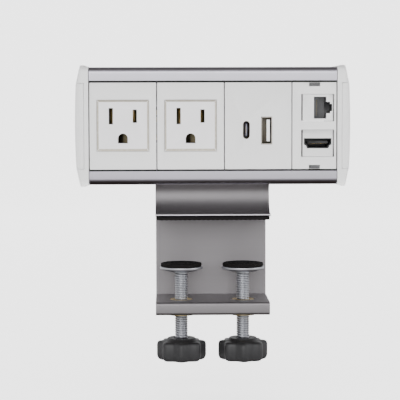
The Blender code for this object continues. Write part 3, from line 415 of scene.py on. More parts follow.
def board_pattern(tree, vector, tint):
    """Copper tracks and pads under green solder mask."""
    flat = mapped(tree, vector, Rotation=(math.pi / 2, 0, 0))
    bricks = add(
        tree,
        "ShaderNodeTexBrick",
        offset=0.35,
        Vector=flat,
        Scale=260.0,
        Mortar_Size=0.05,
        Brick_Width=0.9,
    )
    return blended(tree, bricks.outputs["Fac"], tint, (0.05, 0.30, 0.12))


FINISHES = {}


def make_finishes():
    """All the finishes, by name."""
    look = settings()[1]
    plastic = tuple(look.plastic)
    bar = dict(
        metallic=1.0, ground="drawn", scale=4200.0, drift=0.10, strength=0.35,
        wear=(0.86, 0.86, 0.88), marks=0.35, dust=0.10,
    )
    stamped = dict(metallic=1.0, ground="drawn", dust=0.0)
    # Painted shade: darker copies of brass, for contacts deep in their slots and inside the network
    # jack
    brass_in_shade = dict(stamped, roughness=0.5, metallic=0.8, drift=0.3, marks=0.9)
    clean = dict(roughness=0.5, drift=0.10, dust=0.0)
    specs = {
        "anodised_aluminium": dict(
            bar, colour=tuple(look.aluminium), roughness=0.34, wear_amount=0.35
        ),
        # Painted highlight: a brighter copy of the aluminium, laid on the front of the bracket's lip
        "highlit_aluminium": dict(
            bar, colour=(0.86, 0.84, 0.88), roughness=0.30, drift=0.08, strength=0.3,
            wear=None, dust=0.05,
        ),
        # Painted shade: the bracket is a darker copy of the anodised aluminium, standing in for the
        # shade under the housing
        "shaded_bracket_aluminium": dict(
            bar, colour=(0.34, 0.325, 0.335), roughness=0.50, wear_amount=0.30
        ),
        # The seam colours below are painted shade, laid only where a piece's attribute marks its
        # seams
        "white_plastic": dict(
            colour=plastic, roughness=0.42, drift=0.035, wear=(0.80, 0.80, 0.79),
            wear_amount=0.25, crevice_shade=(0.30, 0.28, 0.25), dust=0.10,
        ),
        "receptacle_plastic": dict(
            colour=tuple(look.receptacle), roughness=0.36, scale=7000.0, drift=0.03,
            strength=0.15, crevice_shade=(0.36, 0.33, 0.27), marks=0.6, dust=0.08,
        ),
        "keystone_plastic": dict(
            colour=tuple(0.90 * part for part in plastic), roughness=0.42, drift=0.03, dust=0.08
        ),
        "grey_plastic": dict(
            colour=tuple(look.latch), roughness=0.48, drift=0.08, wear=(0.50, 0.50, 0.50)
        ),
        # Painted shade inside the network jack
        "jack_shade_grey": dict(clean, colour=(0.20, 0.20, 0.205)),
        "comb_grey": dict(clean, colour=(0.05, 0.05, 0.052), drift=0.15),
        # Painted shade for the gaps between modules
        "gap_shade_black": dict(clean, colour=(0.022, 0.021, 0.020), roughness=0.6, drift=0.2),
        "shaded_brass": dict(brass_in_shade, colour=(0.22, 0.185, 0.10)),
        "deep_shaded_brass": dict(brass_in_shade, colour=(0.13, 0.11, 0.065)),
        # Painted shade: a dark copy of nickel, for port shells seen into their shade
        "shaded_nickel": dict(
            stamped, colour=(0.07, 0.050, 0.035), roughness=0.40, drift=0.15, marks=0.7
        ),
        "port_grey": dict(clean, colour=(0.15, 0.15, 0.19), roughness=0.45, strength=0.2),
        "port_beige": dict(
            clean, colour=(0.20, 0.175, 0.135), roughness=0.45, metallic=0.3, drift=0.5
        ),
        "black_plastic": dict(
            colour=(0.016, 0.016, 0.017), roughness=0.40, drift=0.20, strength=0.5,
            wear=(0.09, 0.09, 0.09), wear_amount=0.7, marks=0.8, dust=0.08,
        ),
        "black_rubber": dict(
            colour=(0.006, 0.005, 0.005), roughness=0.85, scale=3000.0, drift=0.30,
            strength=0.7, wear=(0.025, 0.025, 0.025), marks=0.6, dust=0.06, specular=0.12,
        ),
        "brass": dict(
            stamped, colour=tuple(look.brass), roughness=0.30, scale=6000.0, drift=0.25,
            wear=(0.90, 0.78, 0.50), wear_amount=0.6, marks=0.9,
        ),
        "gold": dict(stamped, colour=(0.95, 0.70, 0.30), roughness=0.22, drift=0.12, marks=0.5),
        "nickel": dict(
            stamped, colour=(0.62, 0.57, 0.50), roughness=0.28, drift=0.15,
            wear=(0.80, 0.77, 0.72), marks=0.7,
        ),
        "zinc_steel": dict(
            colour=(0.56, 0.57, 0.60), roughness=0.32, metallic=1.0, scale=3800.0, drift=0.22,
            strength=0.4, wear=(0.85, 0.85, 0.86), wear_amount=0.6, marks=0.8, dust=0.05,
        ),
        # Black of the port plastics, also laid as painted shade in the jack's notch and beside the
        # USB-A tongue
        "port_black_and_shade": dict(clean, colour=(0.010, 0.010, 0.011), roughness=0.30, strength=0.2),
        "tongue_white": dict(
            clean, colour=(0.82, 0.82, 0.80), roughness=0.40, drift=0.03, strength=0.2
        ),
        "circuit_board": dict(
            colour=(0.02, 0.15, 0.06), roughness=0.35, drift=0.10, coat=0.4, dust=0.1,
            pattern=board_pattern,
        ),
    }
    FINISHES.clear()
    for name, spec in specs.items():
        FINISHES[name] = finish(name, **spec)


# ---- Geometry node trees -------------------------------------------------------------------------

RIDGE_SIDES = 4
THREAD_STEPS = 24


def geometry_tree(name, **inputs):
    """Geometry tree with a Geometry input, the given named inputs and a Finish."""
    tree = bpy.data.node_groups.new(name, "GeometryNodeTree")
    new = tree.interface.new_socket
    new("Geometry", in_out="INPUT", socket_type="NodeSocketGeometry")
    for label, kind in inputs.items():
        new(label, in_out="INPUT", socket_type=f"NodeSocket{kind}")
    new("Finish", in_out="INPUT", socket_type="NodeSocketMaterial")
    new("Geometry", in_out="OUTPUT", socket_type="NodeSocketGeometry")
    return tree, tree.nodes.new("NodeGroupInput").outputs


def then(tree, kind, *sources, **values):
    """First output of a node."""
    return add(tree, kind, *sources, **values).outputs[0]


def joined(tree, *sources):
    both = tree.nodes.new("GeometryNodeJoinGeometry")
    for source in sources:
        tree.links.new(source, both.inputs[0])
    return both.outputs[0]


def close_tree(tree, given, source):
    """End of every tree: instances made real and the finish set."""
    real = then(tree, "GeometryNodeRealizeInstances", source)
    coat = then(tree, "GeometryNodeSetMaterial", real, Material=given["Finish"])
    tree.links.new(coat, tree.nodes.new("NodeGroupOutput").inputs["Geometry"])
    return tree


def extrusion_tree():
    """Closed section, drawn as edges with depth as x and height as y, made a bar along X."""
    tree, given = geometry_tree("Extruded Bar", Length="Float")
    curve = then(tree, "GeometryNodeMeshToCurve", given["Geometry"])
    flat = then(tree, "GeometryNodeFillCurve", curve, mode="NGONS")
    offset = then(tree, "ShaderNodeCombineXYZ", Z=given["Length"])
    pull = add(tree, "GeometryNodeExtrudeMesh", Mesh=flat, Offset=offset, Individual=False)
    flip = then(tree, "GeometryNodeFlipFaces", flat)
    both = joined(tree, pull.outputs["Mesh"], flip)
    weld = then(tree, "GeometryNodeMergeByDistance", both, Distance=WELD)
    start = then(tree, "ShaderNodeCombineXYZ", X=product(tree, given["Length"], -0.5))
    upright = (math.pi / 2, 0, math.pi / 2)
    turn = then(tree, "GeometryNodeTransform", weld, Translation=start, Rotation=upright)
    return close_tree(tree, given, then(tree, "GeometryNodeSetShadeSmooth", turn))


def row_tree():
    """The item repeated in a straight row, centred on where it stands."""
    tree, given = geometry_tree("Row", Count="Int", Step="Vector")
    half = product(tree, maths(tree, "SUBTRACT", given["Count"], 1.0), -0.5)
    start = add(tree, "ShaderNodeVectorMath", given["Step"], operation="SCALE", Scale=half)
    line = then(
        tree,
        "GeometryNodeMeshLine",
        mode="OFFSET",
        Count=given["Count"],
        Start_Location=start.outputs[0],
        Offset=given["Step"],
    )
    item = given["Geometry"]
    place = then(tree, "GeometryNodeInstanceOnPoints", Points=line, Instance=item)
    return close_tree(tree, given, place)


def thread_tree():
    """Helical ridge round the shank it is given, from Start upwards."""
    tree, given = geometry_tree(
        "Thread", Radius="Float", Pitch="Float", Turns="Float", Depth="Float", Start="Vector"
    )
    helix = then(
        tree,
        "GeometryNodeCurveSpiral",
        Resolution=THREAD_STEPS,
        Rotations=given["Turns"],
        Start_Radius=given["Radius"],
        End_Radius=given["Radius"],
        Height=product(tree, given["Turns"], given["Pitch"]),
    )
    path = then(tree, "GeometryNodeSetCurveNormal", helix, mode="Z_UP")
    ridge = then(
        tree, "GeometryNodeCurvePrimitiveCircle", Resolution=RIDGE_SIDES, Radius=given["Depth"]
    )
    sweep = then(tree, "GeometryNodeCurveToMesh", path, ridge, Fill_Caps=True)
    lifted = then(tree, "GeometryNodeTransform", sweep, Translation=given["Start"])
    return close_tree(tree, given, joined(tree, given["Geometry"], lifted))


TREE_MAKERS = {
    "grain": grain_group,
    "drawn": drawn_group,
    "wear": wear_group,
    "marks": marks_group,
    "dust": dust_group,
    "crevice_shade": crevice_shade_group,
    "bar": extrusion_tree,
    "row": row_tree,
    "thread": thread_tree,
}
TREES = {}


def tree_for(word):
    """Node tree of one kind, made when it is first needed."""
    if word not in TREES:
        TREES[word] = TREE_MAKERS[word]()
    return TREES[word]


def with_tree(obj, word, **values):
    """Geometry Nodes modifier whose inputs are set by their identifiers."""
    tree = tree_for(word)
    modifier = obj.modifiers.new(word, "NODES")
    modifier.node_group = tree
    for item in tree.interface.items_tree:
        if item.item_type == "SOCKET" and item.in_out == "INPUT" and item.name in values:
            modifier[item.identifier] = values[item.name]


# ---- Shapes --------------------------------------------------------------------------------------


CORNER_SHARE = 0.45
FLAT_ANGLE = math.radians(0.8)
BEVEL_ANGLE = math.radians(30)


def to_mesh(shape, name):
    mesh = bpy.data.meshes.new(name)
    shape.to_mesh(mesh)
    shape.free()
    return mesh


def linked(name, mesh):
    obj = bpy.data.objects.new(name, mesh)
    bpy.context.scene.collection.objects.link(obj)
    return obj


def moved(shape, matrix):
    bmesh.ops.transform(shape, matrix=matrix, verts=shape.verts)
    return shape


def arc(centre, radius, start, end, steps):
    """Points of an arc, by angles in degrees."""
    angles = [math.radians(start + (end - start) * i / steps) for i in range(steps + 1)]
    return [(centre[0] + radius * math.cos(a), centre[1] + radius * math.sin(a)) for a in angles]


def circle(place, radius, height, sides):
    """Level ring of points about an upright axis."""
    angles = [2 * math.pi * k / sides for k in range(sides)]
    x, y = place
    return [(x + radius * math.cos(a), y + radius * math.sin(a), height) for a in angles]


def rounded_rectangle(width, height, radius, steps, centre):
    across, up = width / 2 - radius, height / 2 - radius
    loop = []
    for x, z, angle in ((across, up, 0), (-across, up, 90), (-across, -up, 180), (across, -up, 270)):
        loop += arc((centre[0] + x, centre[1] + z), radius, angle, angle + 90, steps)
    return loop


def box_shape(first, second):
    """Box between any two opposite corners."""
    near = Vector([min(pair) for pair in zip(first, second)])
    far = Vector([max(pair) for pair in zip(first, second)])
    shape = bmesh.new()
    bmesh.ops.create_cube(shape, size=1.0)
    bmesh.ops.scale(shape, verts=shape.verts, vec=far - near)
    bmesh.ops.translate(shape, verts=shape.verts, vec=(near + far) / 2)
    return shape


def skinned(rings, poles=(None, None), looped=False):
    """Closed skin over rings of equal count, looped or with a pole or a flat face at each end."""
    shape = bmesh.new()
    rows = [[shape.verts.new(point) for point in ring] for ring in rings]
    count = len(rows[0])
    following = rows[1:] + rows[:1] if looped else rows[1:]
    for first, second in zip(rows, following):
        for i in range(count):
            j = (i + 1) % count
            shape.faces.new((first[i], first[j], second[j], second[i]))
    ends = () if looped else ((rows[0], poles[0]), (rows[-1], poles[1]))
    for row, pole in ends:
        if pole is None:
            shape.faces.new(row)
            continue
        tip = shape.verts.new(pole)
        for i in range(count):
            shape.faces.new((row[i], row[(i + 1) % count], tip))
    bmesh.ops.recalc_face_normals(shape, faces=shape.faces)
    return shape


def turned_shape(profile, place=(0, 0), sides=64):
    """Solid of revolution about an upright axis, from (radius, height) points, top to bottom."""
    rings, poles = [], [None, None]
    for i, (radius, height) in enumerate(profile):
        if radius < WELD:
            poles[0 if i == 0 else 1] = (*place, height)
        else:
            rings.append(circle(place, radius, height, sides))
    return skinned(rings, poles)


def drill(obj, spot, radius, top, bottom, sides=32):
    """Upright round hole cut through a piece."""
    cut(obj, turned_shape([(radius, top), (radius, bottom)], (spot[0], spot[1]), sides))


def softened(profile, radius, steps=4):
    """Outline with its inner corners rounded."""
    points = [Vector(point) for point in profile]
    result = [tuple(points[0])]
    for before, corner, after in zip(points, points[1:], points[2:]):
        back, ahead = before - corner, after - corner
        reach = min(radius, back.length * CORNER_SHARE, ahead.length * CORNER_SHARE)
        first = corner + back.normalized() * reach
        last = corner + ahead.normalized() * reach
        for i in range(steps + 1):
            share = i / steps
            point = first.lerp(corner, share).lerp(corner.lerp(last, share), share)
            result.append(tuple(point))
    result.append(tuple(points[-1]))
    return result


def cad_copy(node):
    """The CAD node's solid with its loose triangles merged into whole faces."""
    shape = bmesh.new()
    shape.from_mesh(NODES[node].data)
    bmesh.ops.remove_doubles(shape, verts=shape.verts, dist=WELD)
    bmesh.ops.dissolve_limit(
        shape, angle_limit=FLAT_ANGLE, verts=shape.verts, edges=shape.edges
    )
    return shape


# ---- Pieces --------------------------------------------------------------------------------------


def round_edges(obj, width, segments=2):
    bevel = obj.modifiers.new("round", "BEVEL")
    bevel.width = width
    bevel.segments = segments
    bevel.limit_method = "ANGLE"
    bevel.angle_limit = BEVEL_ANGLE
    bevel.harden_normals = True
    bevel.use_clamp_overlap = True


def cut(obj, shape):
    """Boolean difference with a shape; its tool object is dropped when the piece is made plain."""
    tool = linked(f"{obj.name}_tool", to_mesh(shape, "tool"))
    tool.hide_render = True
    boolean = obj.modifiers.new("cut", "BOOLEAN")
    boolean.operation = "DIFFERENCE"
    boolean.solver = "EXACT"
    boolean.object = tool


def made_plain(obj):
    """Modifiers replaced by the mesh they give, and their tools removed."""
    tools = [each.object for each in obj.modifiers if each.type == "BOOLEAN"]
    evaluated = obj.evaluated_get(bpy.context.evaluated_depsgraph_get())
    mesh = bpy.data.meshes.new_from_object(evaluated)
    obj.modifiers.clear()
    obj.data = mesh
    for tool in tools:
        bpy.data.objects.remove(tool, do_unlink=True)
    if not mesh.polygons:
        raise RuntimeError(f"{obj.name} has no faces")
    return obj


def new_piece(name, shape, place=None):
    """Object for a piece in the making, its shape moved to its place."""
    if place is not None:
        moved(shape, place if isinstance(place, Matrix) else Matrix.Translation(place))
    for face in shape.faces:
        face.smooth = True
    return linked(name, to_mesh(shape, name))


def finished(obj, finish_name, body="unit", stands_for=(), sharp=35):
    """Plain mesh, finish, body and the CAD nodes it stands for."""
    made_plain(obj)
    mesh = obj.data
    mesh.materials.clear()
    mesh.materials.append(FINISHES[finish_name])
    if not mesh.has_custom_normals:
        mesh.shade_smooth()
        mesh.set_sharp_from_angle(angle=math.radians(sharp))
    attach(obj, body)
    if stands_for:
        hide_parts(*stands_for)
    return obj


def dressed(obj, finish_name, test):
    """Second finish on the faces that pass a test; the first finish stays elsewhere."""
    mesh = obj.data
    mesh.materials.append(FINISHES[finish_name])
    index = len(mesh.materials) - 1
    for polygon in mesh.polygons:
        if test(polygon):
            polygon.material_index = index


def refined(node, finish_name, edge, segments=2):
    """CAD node's shape with rounded edges."""
    obj = new_piece(f"{node}_finished", cad_copy(node))
    round_edges(obj, edge, segments)
    return finished(obj, finish_name, stands_for=(node,))


def section_object(name, loops):
    """Closed loops of edges in the XY plane."""
    shape = bmesh.new()
    for loop in loops:
        points = [shape.verts.new((across, up, 0)) for across, up in loop]
        for i, point in enumerate(points):
            shape.edges.new((point, points[(i + 1) % len(points)]))
    return linked(name, to_mesh(shape, name))


class PieceOperator(bpy.types.Operator):
    """Base of the operators, which are undone as one step."""

    bl_options = {"REGISTER", "UNDO"}


class POWERUNIT_OT_finishes(PieceOperator):
    """Make every finish"""

    bl_idname = "powerunit.finishes"
    bl_label = "Finishes"

    def execute(self, context):
        make_finishes()
        return {"FINISHED"}


# ---- Housing and bracket -------------------------------------------------------------------------

OVERCUT = 0.001
STRIP = 0.00725
STRIP_THICKNESS = 0.0018
GROOVE_BACK = 0.0039
GROOVE_RISE = 0.00275
RIB = 0.0018
REVEAL = 0.00095
WALL = 0.002
PORT_BOSS = 0.003
PORT_BORE = 0.0015
PORT_OFFSET = 0.0026
PORT_SPREAD = 0.0184
INLET_WINDOW = (0.01405, 0.01005)
DATA_WINDOW = (0.0088, 0.0151)
HOUSING_HOLE = 0.002


def housing_section(corner):
    """Outline of the extrusion: front at 0, middle at 0."""
    half, back = HALF_HEIGHT, DEPTH
    mouth = half - STRIP
    outer = [(0, mouth)]
    outer += arc((corner, half - corner), corner, 180, 90, 18)
    outer += arc((back - corner, half - corner), corner, 90, 0, 18)
    outer += arc((back - corner, corner - half), corner, 0, -90, 18)
    outer += arc((corner, corner - half), corner, -90, -180, 18)
    outer += [(0, -mouth)]
    inner_back = back - WALL
    port = inner_back - PORT_OFFSET
    opening = math.degrees(math.acos(PORT_OFFSET / PORT_BOSS))
    bosses = []
    for z in (-PORT_SPREAD, PORT_SPREAD):
        bosses += arc((port, z), PORT_BOSS, -opening, opening - 360, 24)
    inside = [
        (STRIP_THICKNESS, mouth),
        (STRIP_THICKNESS, mouth + GROOVE_RISE),
        (GROOVE_BACK, mouth + GROOVE_RISE),
        (GROOVE_BACK, mouth + REVEAL),
        (GROOVE_BACK + RIB, mouth + REVEAL),
        (GROOVE_BACK + RIB, half - WALL),
    ]
    inner = [(y, -z) for y, z in inside] + [(inner_back, WALL - half)]
    inner += bosses + [(inner_back, half - WALL)] + inside[::-1]
    bores = [arc((port, z), PORT_BORE, 0, 345, 23) for z in (-PORT_SPREAD, PORT_SPREAD)]
    return [[(y + FRONT, z + LEVEL) for y, z in loop] for loop in [outer + inner] + bores]


class POWERUNIT_OT_housing(PieceOperator):
    """Make the aluminium housing"""

    bl_idname = "powerunit.housing"
    bl_label = "Housing"

    def execute(self, context):
        shape = settings()[0]
        obj = section_object("housing", housing_section(shape.corner_radius))
        length = HOUSING_HIGH.x - HOUSING_LOW.x
        with_tree(obj, "bar", Length=length, Finish=FINISHES["anodised_aluminium"])
        inner, outer = HOUSING_HIGH.y - WALL - OVERCUT, HOUSING_HIGH.y + OVERCUT
        for node, window in (("inlet_ground_pin", INLET_WINDOW), ("rj45_coupler_body", DATA_WINDOW)):
            x, (across, up) = middle(node).x, window
            cut(obj, box_shape((x - across, inner, LEVEL - up), (x + across, outer, LEVEL + up)))
        for word in ("left", "right"):
            top = HOUSING_LOW.z + WALL + OVERCUT
            spot = middle(f"bracket_screw_{word}")
            drill(obj, spot, HOUSING_HOLE, top, HOUSING_LOW.z - OVERCUT)
        round_edges(obj, shape.metal_edge)
        finished(obj, "anodised_aluminium", stands_for=("housing_extrusion",))
        return {"FINISHED"}


LIP = 0.0012
LIP_FLAT = 0.0035
NECK_LOWER = 0.0108
NECK_UPPER = 0.007
NECK_UPPER_RISE = 0.0049
NECK_WALL = 0.003
TOP_PLATE = 0.0035
FOOT_PLATE = 0.004
WEB = 0.006
JAW = 0.007
JAW_REACH = 0.037
BRACKET_ROUND = 0.0015
BRACKET_HOLE = 0.0017
BUSH_HOLE = 0.00635


def bracket_section():
    """Outline of the bracket and the chamber in its neck."""
    near, far = low("bracket"), high("bracket")
    foot_low = high("foot_pad").z + GAP
    arc_y, arc_z = near.y + LIP_FLAT, foot_low + LIP + NECK_LOWER
    deepest = arc_y + NECK_LOWER
    sweep = math.degrees(math.asin(NECK_UPPER_RISE / NECK_UPPER))
    top, back, nose, r = far.z, far.y, LIP / 2, BRACKET_ROUND
    web = back - WEB
    jaw_low, jaw_top, jaw_front = near.z, near.z + JAW, web - JAW_REACH
    loop = arc((near.y + nose, foot_low + nose), nose - WELD, 265, 95, 12)
    loop += arc((arc_y, arc_z), NECK_LOWER, 270, 360, 40)
    loop += arc((deepest - NECK_UPPER, arc_z), NECK_UPPER, 0, sweep, 20)[1:]
    loop += arc((back - r, top - r), r, 90, 0, 8)
    loop += arc((back - r, jaw_low + r), r, 0, -90, 8)
    loop += arc((jaw_front + r, jaw_low + r), r, -90, -180, 8)
    loop += arc((jaw_front + r, jaw_top - r), r, 180, 90, 8)
    loop += [(web, jaw_top), (web, foot_low)]
    inner = deepest + NECK_WALL
    floor, roof = foot_low + FOOT_PLATE, top - TOP_PLATE
    chamber = arc((web - r, floor + r), r, -90, 0, 6)
    chamber += arc((web - r, roof - r), r, 0, 90, 6)
    chamber += arc((inner + r, roof - r), r, 90, 180, 6)
    chamber += arc((inner + r, floor + r), r, 180, 270, 6)
    return [loop, chamber]


class POWERUNIT_OT_bracket(PieceOperator):
    """Make the bracket with its neck, lip and lower jaw"""

    bl_idname = "powerunit.bracket"
    bl_label = "Bracket"

    def execute(self, context):
        obj = section_object("bracket_bar", bracket_section())
        near, far = low("bracket"), high("bracket")
        with_tree(obj, "bar", Length=far.x - near.x, Finish=FINISHES["shaded_bracket_aluminium"])
        for word in ("left", "right"):
            spot = middle(f"bracket_screw_{word}")
            drill(obj, spot, BRACKET_HOLE, far.z + OVERCUT, far.z - TOP_PLATE - OVERCUT)
        for index in (1, 2):
            spot = middle(f"clamp_{index}_bush")
            drill(obj, spot, BUSH_HOLE, near.z + JAW + OVERCUT, near.z - OVERCUT, 64)
        round_edges(obj, settings()[0].metal_edge)
        # Painted shade: the whole bracket takes the darker copy of the aluminium
        finished(obj, "shaded_bracket_aluminium", stands_for=("bracket",))
        # Painted highlight on the front of the lip
        dressed(obj, "highlit_aluminium", lambda face: face.center.y < near.y + LIP / 2)
        return {"FINISHED"}


PAD_CORNER = 0.002
PAD_EDGE = 0.0002
PAD_RIB_HEIGHT = 0.00025
PAD_RIB_SHARE = 0.3
PAD_RIB_EDGE = 0.00012
PAD_RIB_ROOT = 0.0001
PAD_RIB_TIP = 0.7
PAD_MARGIN = (0.003, 0.0018)


class POWERUNIT_OT_foot_pad(PieceOperator):
    """Make the rubber pad under the lip, with ribs on its underside"""

    bl_idname = "powerunit.foot_pad"
    bl_label = "Foot Pad"

    def execute(self, context):
        near, far = low("foot_pad"), high("foot_pad")
        size, centre_y = far - near, (near.y + far.y) / 2
        base = near.z + PAD_RIB_HEIGHT
        loop = rounded_rectangle(size.x, size.y, PAD_CORNER, 8, (0, centre_y))
        rings = []
        for inset, z in (
            (PAD_EDGE, base),
            (0, base + PAD_EDGE),
            (0, far.z - PAD_EDGE),
            (PAD_EDGE, far.z),
        ):
            share_x, share_y = 1 - 2 * inset / size.x, 1 - 2 * inset / size.y
            rings.append([(x * share_x, y * share_y, z) for x, y in loop])
        pad = new_piece("foot_pad_body", skinned(rings))
        finished(pad, "black_rubber", stands_for=("foot_pad",))
        pitch = settings()[0].pad_rib_pitch
        count = int((size.x - PAD_MARGIN[0]) / pitch)
        depth, half = size.y / 2 - PAD_MARGIN[1], pitch * PAD_RIB_SHARE
        profile = [(-half, depth), (half, depth), (half, -depth), (-half, -depth)]
        levels = (
            (1.0, base + PAD_RIB_ROOT),
            (1.0, near.z + PAD_RIB_EDGE),
            (PAD_RIB_TIP, near.z),
        )
        rings = [[(x * share, y + centre_y, z) for x, y in profile] for share, z in levels]
        ribs = new_piece("foot_pad_ribs", skinned(rings))
        with_tree(ribs, "row", Count=count, Step=(pitch, 0, 0), Finish=FINISHES["black_rubber"])
        finished(ribs, "black_rubber")
        return {"FINISHED"}


# ---- End caps ------------------------------------------------------------------------------------

CAP_PROUD = 0.0002
CAP_FLARE = 0.0008
CAP_CORNER = 0.0035
CAP_SEAM = 0.00008
CAP_RISE = 0.0022
CAP_SHOULDER = 0.0047
CAP_SHOULDER_ROUND = 0.001
CAP_SLOPE_END = 0.0068
CAP_SLOPE_STEP = 0.0001
CAP_BACKSET = 0.007
CAP_BACKSET_SHARE = 0.25
CAP_SIDE_HALF = 0.0229
CAP_SIDE_STEP = 0.0006
CAP_STEPS = 14
CAP_CORNER_STEPS = 7
CAP_EDGE = 0.0004
CAP_COVER_EDGE = 0.0005
CAP_HOLE = 0.00155
CAP_HOLE_REACH = 0.004
CAP_HOLLOW = 0.0024
CAP_HOLLOW_FRONT = 0.007
CAP_HOLLOW_BACK = 0.0017
CAP_HOLLOW_WALL = 0.0018
CAP_OVERCUT = 0.002
CAP_FAR = 0.012
CAP_CLEAR = 0.05
FLANGE = 0.0023


def cap_reach(z, half, crown):
    """How far the cap stands out from its joint at a height from the middle."""
    rise = abs(z)
    if rise > CAP_SIDE_HALF:
        share = (rise - CAP_SIDE_HALF) / (half - CAP_SIDE_HALF)
        return CAP_SLOPE_END + (CAP_SHOULDER - CAP_SLOPE_END) * share
    bulge = CAP_SLOPE_END + CAP_SLOPE_STEP
    return bulge + (crown - bulge) * (1 - (rise / CAP_SIDE_HALF) ** 2)


def cap_levels(half):
    """Heights of the cap's rings, closer near its ends and about the flange's step."""
    quarter = math.pi / 2
    corner, steps = CAP_CORNER, CAP_CORNER_STEPS
    levels = {half * math.sin(quarter * i / CAP_STEPS) for i in range(CAP_STEPS + 1)}
    levels |= {half - corner + corner * math.sin(quarter * i / steps) for i in range(steps + 1)}
    levels |= {CAP_SIDE_HALF + step for step in (-CAP_SIDE_STEP, 0.0, CAP_SIDE_STEP)}
    levels = {round(z, 7) for z in levels}
    return sorted(levels | {-z for z in levels})


def cap_blank(side):
    """Outer form of an end cap, lofted over its height, as (x, y, z) from its joint."""
    half = HALF_HEIGHT + CAP_PROUD + CAP_FLARE
    crown = high("right_end_cap_cover").x - HOUSING_HIGH.x - GAP
    corner, foot, shoulder = CAP_CORNER, half - CAP_FLARE, CAP_SHOULDER - CAP_SHOULDER_ROUND
    rings = []
    for z in cap_levels(half):
        over = max(0.0, abs(z) - (half - corner))
        inset = corner - math.sqrt(max(corner**2 - over**2, 0.0))
        reach = cap_reach(z, half, crown)
        near, far = inset - CAP_PROUD, DEPTH + CAP_PROUD - inset
        start = CAP_RISE * max(0.0, abs(z) - foot) / CAP_FLARE
        run = min(CAP_BACKSET, (far - near) * CAP_BACKSET_SHARE)
        loop = [(start, near), ((start + shoulder) / 2, near)]
        for i in range(CAP_STEPS + 1):
            angle = math.pi / 2 * i / CAP_STEPS
            x = shoulder + (reach - shoulder) * math.sin(angle)
            loop.append((x, near + run * (1 - math.cos(angle))))
        loop += [(x, near + far - y) for x, y in reversed(loop)]
        rings.append([(side * x, y, z) for x, y in loop])
    return skinned(rings)


class POWERUNIT_OT_end_caps(PieceOperator):
    """Make both end caps, each a flange and a domed cover with a groove between"""

    bl_idname = "powerunit.end_caps"
    bl_label = "End Caps"

    def execute(self, context):
        for word, side in (("left", -1), ("right", 1)):
            joint = Matrix.Translation((side * (HOUSING_HIGH.x + GAP), FRONT, LEVEL))
            self.flange(word, side, joint)
            self.cover(word, side, joint)
        return {"FINISHED"}

    def flange(self, word, side, joint):
        base = new_piece(f"{word}_cap_flange", cap_blank(side), joint)
        self.clear(base, side, joint, (FLANGE, CAP_FAR), (-CAP_SIDE_HALF, CAP_SIDE_HALF))
        for z in (-PORT_SPREAD, PORT_SPREAD):
            spot = (joint.translation.x, middle(f"{word}_cap_screw_upper").y, LEVEL + z)
            turn = Matrix.Translation(spot) @ Matrix.Rotation(math.pi / 2, 4, "Y")
            ends = [(CAP_HOLE, CAP_HOLE_REACH), (CAP_HOLE, -CAP_HOLE_REACH)]
            cut(base, moved(turned_shape(ends, sides=32), turn))
        round_edges(base, CAP_EDGE, 4)
        finished(base, "white_plastic", stands_for=(f"{word}_end_cap_base",))

    def cover(self, word, side, joint):
        cover = new_piece(f"{word}_cap_dome", cap_blank(side), joint)
        behind = (-OVERCUT, FLANGE + CAP_SEAM)
        self.clear(cover, side, joint, behind, (-CAP_CLEAR, CAP_CLEAR))
        for end in (-1, 1):
            beyond = (end * (CAP_SIDE_HALF - CAP_SEAM), end * CAP_CLEAR)
            self.clear(cover, side, joint, (-CAP_OVERCUT, CAP_FAR), beyond)
        inner = CAP_SIDE_HALF - CAP_HOLLOW_WALL
        near = (side * (FLANGE - OVERCUT), CAP_HOLLOW_FRONT, -inner)
        far = (side * (FLANGE + CAP_HOLLOW), DEPTH - CAP_HOLLOW_BACK, inner)
        cut(cover, moved(box_shape(near, far), joint))
        round_edges(cover, CAP_COVER_EDGE, 4)
        finished(cover, "white_plastic", stands_for=(f"{word}_end_cap_cover",))

    def clear(self, obj, side, joint, reach, rise):
        """Box across the whole depth cut away, between two reaches and two heights."""
        near = (side * reach[0], -CAP_OVERCUT, rise[0])
        far = (side * reach[1], DEPTH + CAP_OVERCUT, rise[1])
        cut(obj, moved(box_shape(near, far), joint))


# ---- Modules -------------------------------------------------------------------------------------

FACE_HALF = HALF_HEIGHT - STRIP - REVEAL
FACE_MARGIN = 0.0001
FACE_VISIBLE = 0.0012
SHEET_EDGE = 0.00008
MOULD_EDGE = 0.0001
FRONT_EDGE = 0.00014
CONTACT_BRIGHT = 0.0030
SEAM_DEPTH = 0.00058
SEAM_AREA = 1e-6
SEAM_SLOPE = (0.1, 0.97)
COMB_BASE = 0.00092
COMB_EDGE = 0.00004
JACK_WIDTH = 0.00665


class POWERUNIT_OT_faceplates(PieceOperator):
    """Make the four faceplates"""

    bl_idname = "powerunit.faceplates"
    bl_label = "Faceplates"

    def execute(self, context):
        for word in ("outlet_1", "outlet_2", "usb", "data"):
            obj = refined(f"{word}_faceplate", "white_plastic", settings()[0].edge_round)
            front = low(f"{word}_faceplate").y + FACE_VISIBLE

            def hidden(face):
                rise = abs(face.center.z - LEVEL) - FACE_HALF
                return rise > FACE_MARGIN or rise > -FACE_MARGIN and face.center.y > front

            # Painted shade: the faceplate's sides and hidden faces go near black, so the gaps
            # between modules read as shade
            dressed(obj, "gap_shade_black", hidden)
        return {"FINISHED"}


def crevice_shaded(obj, test):
    """Painted seam-shade attribute, one on the faces that pass a test."""
    mesh = obj.data
    layer = mesh.attributes.new("crevice_shade", "FLOAT", "FACE")
    for polygon in mesh.polygons:
        layer.data[polygon.index].value = 1.0 if test(polygon) else 0.0


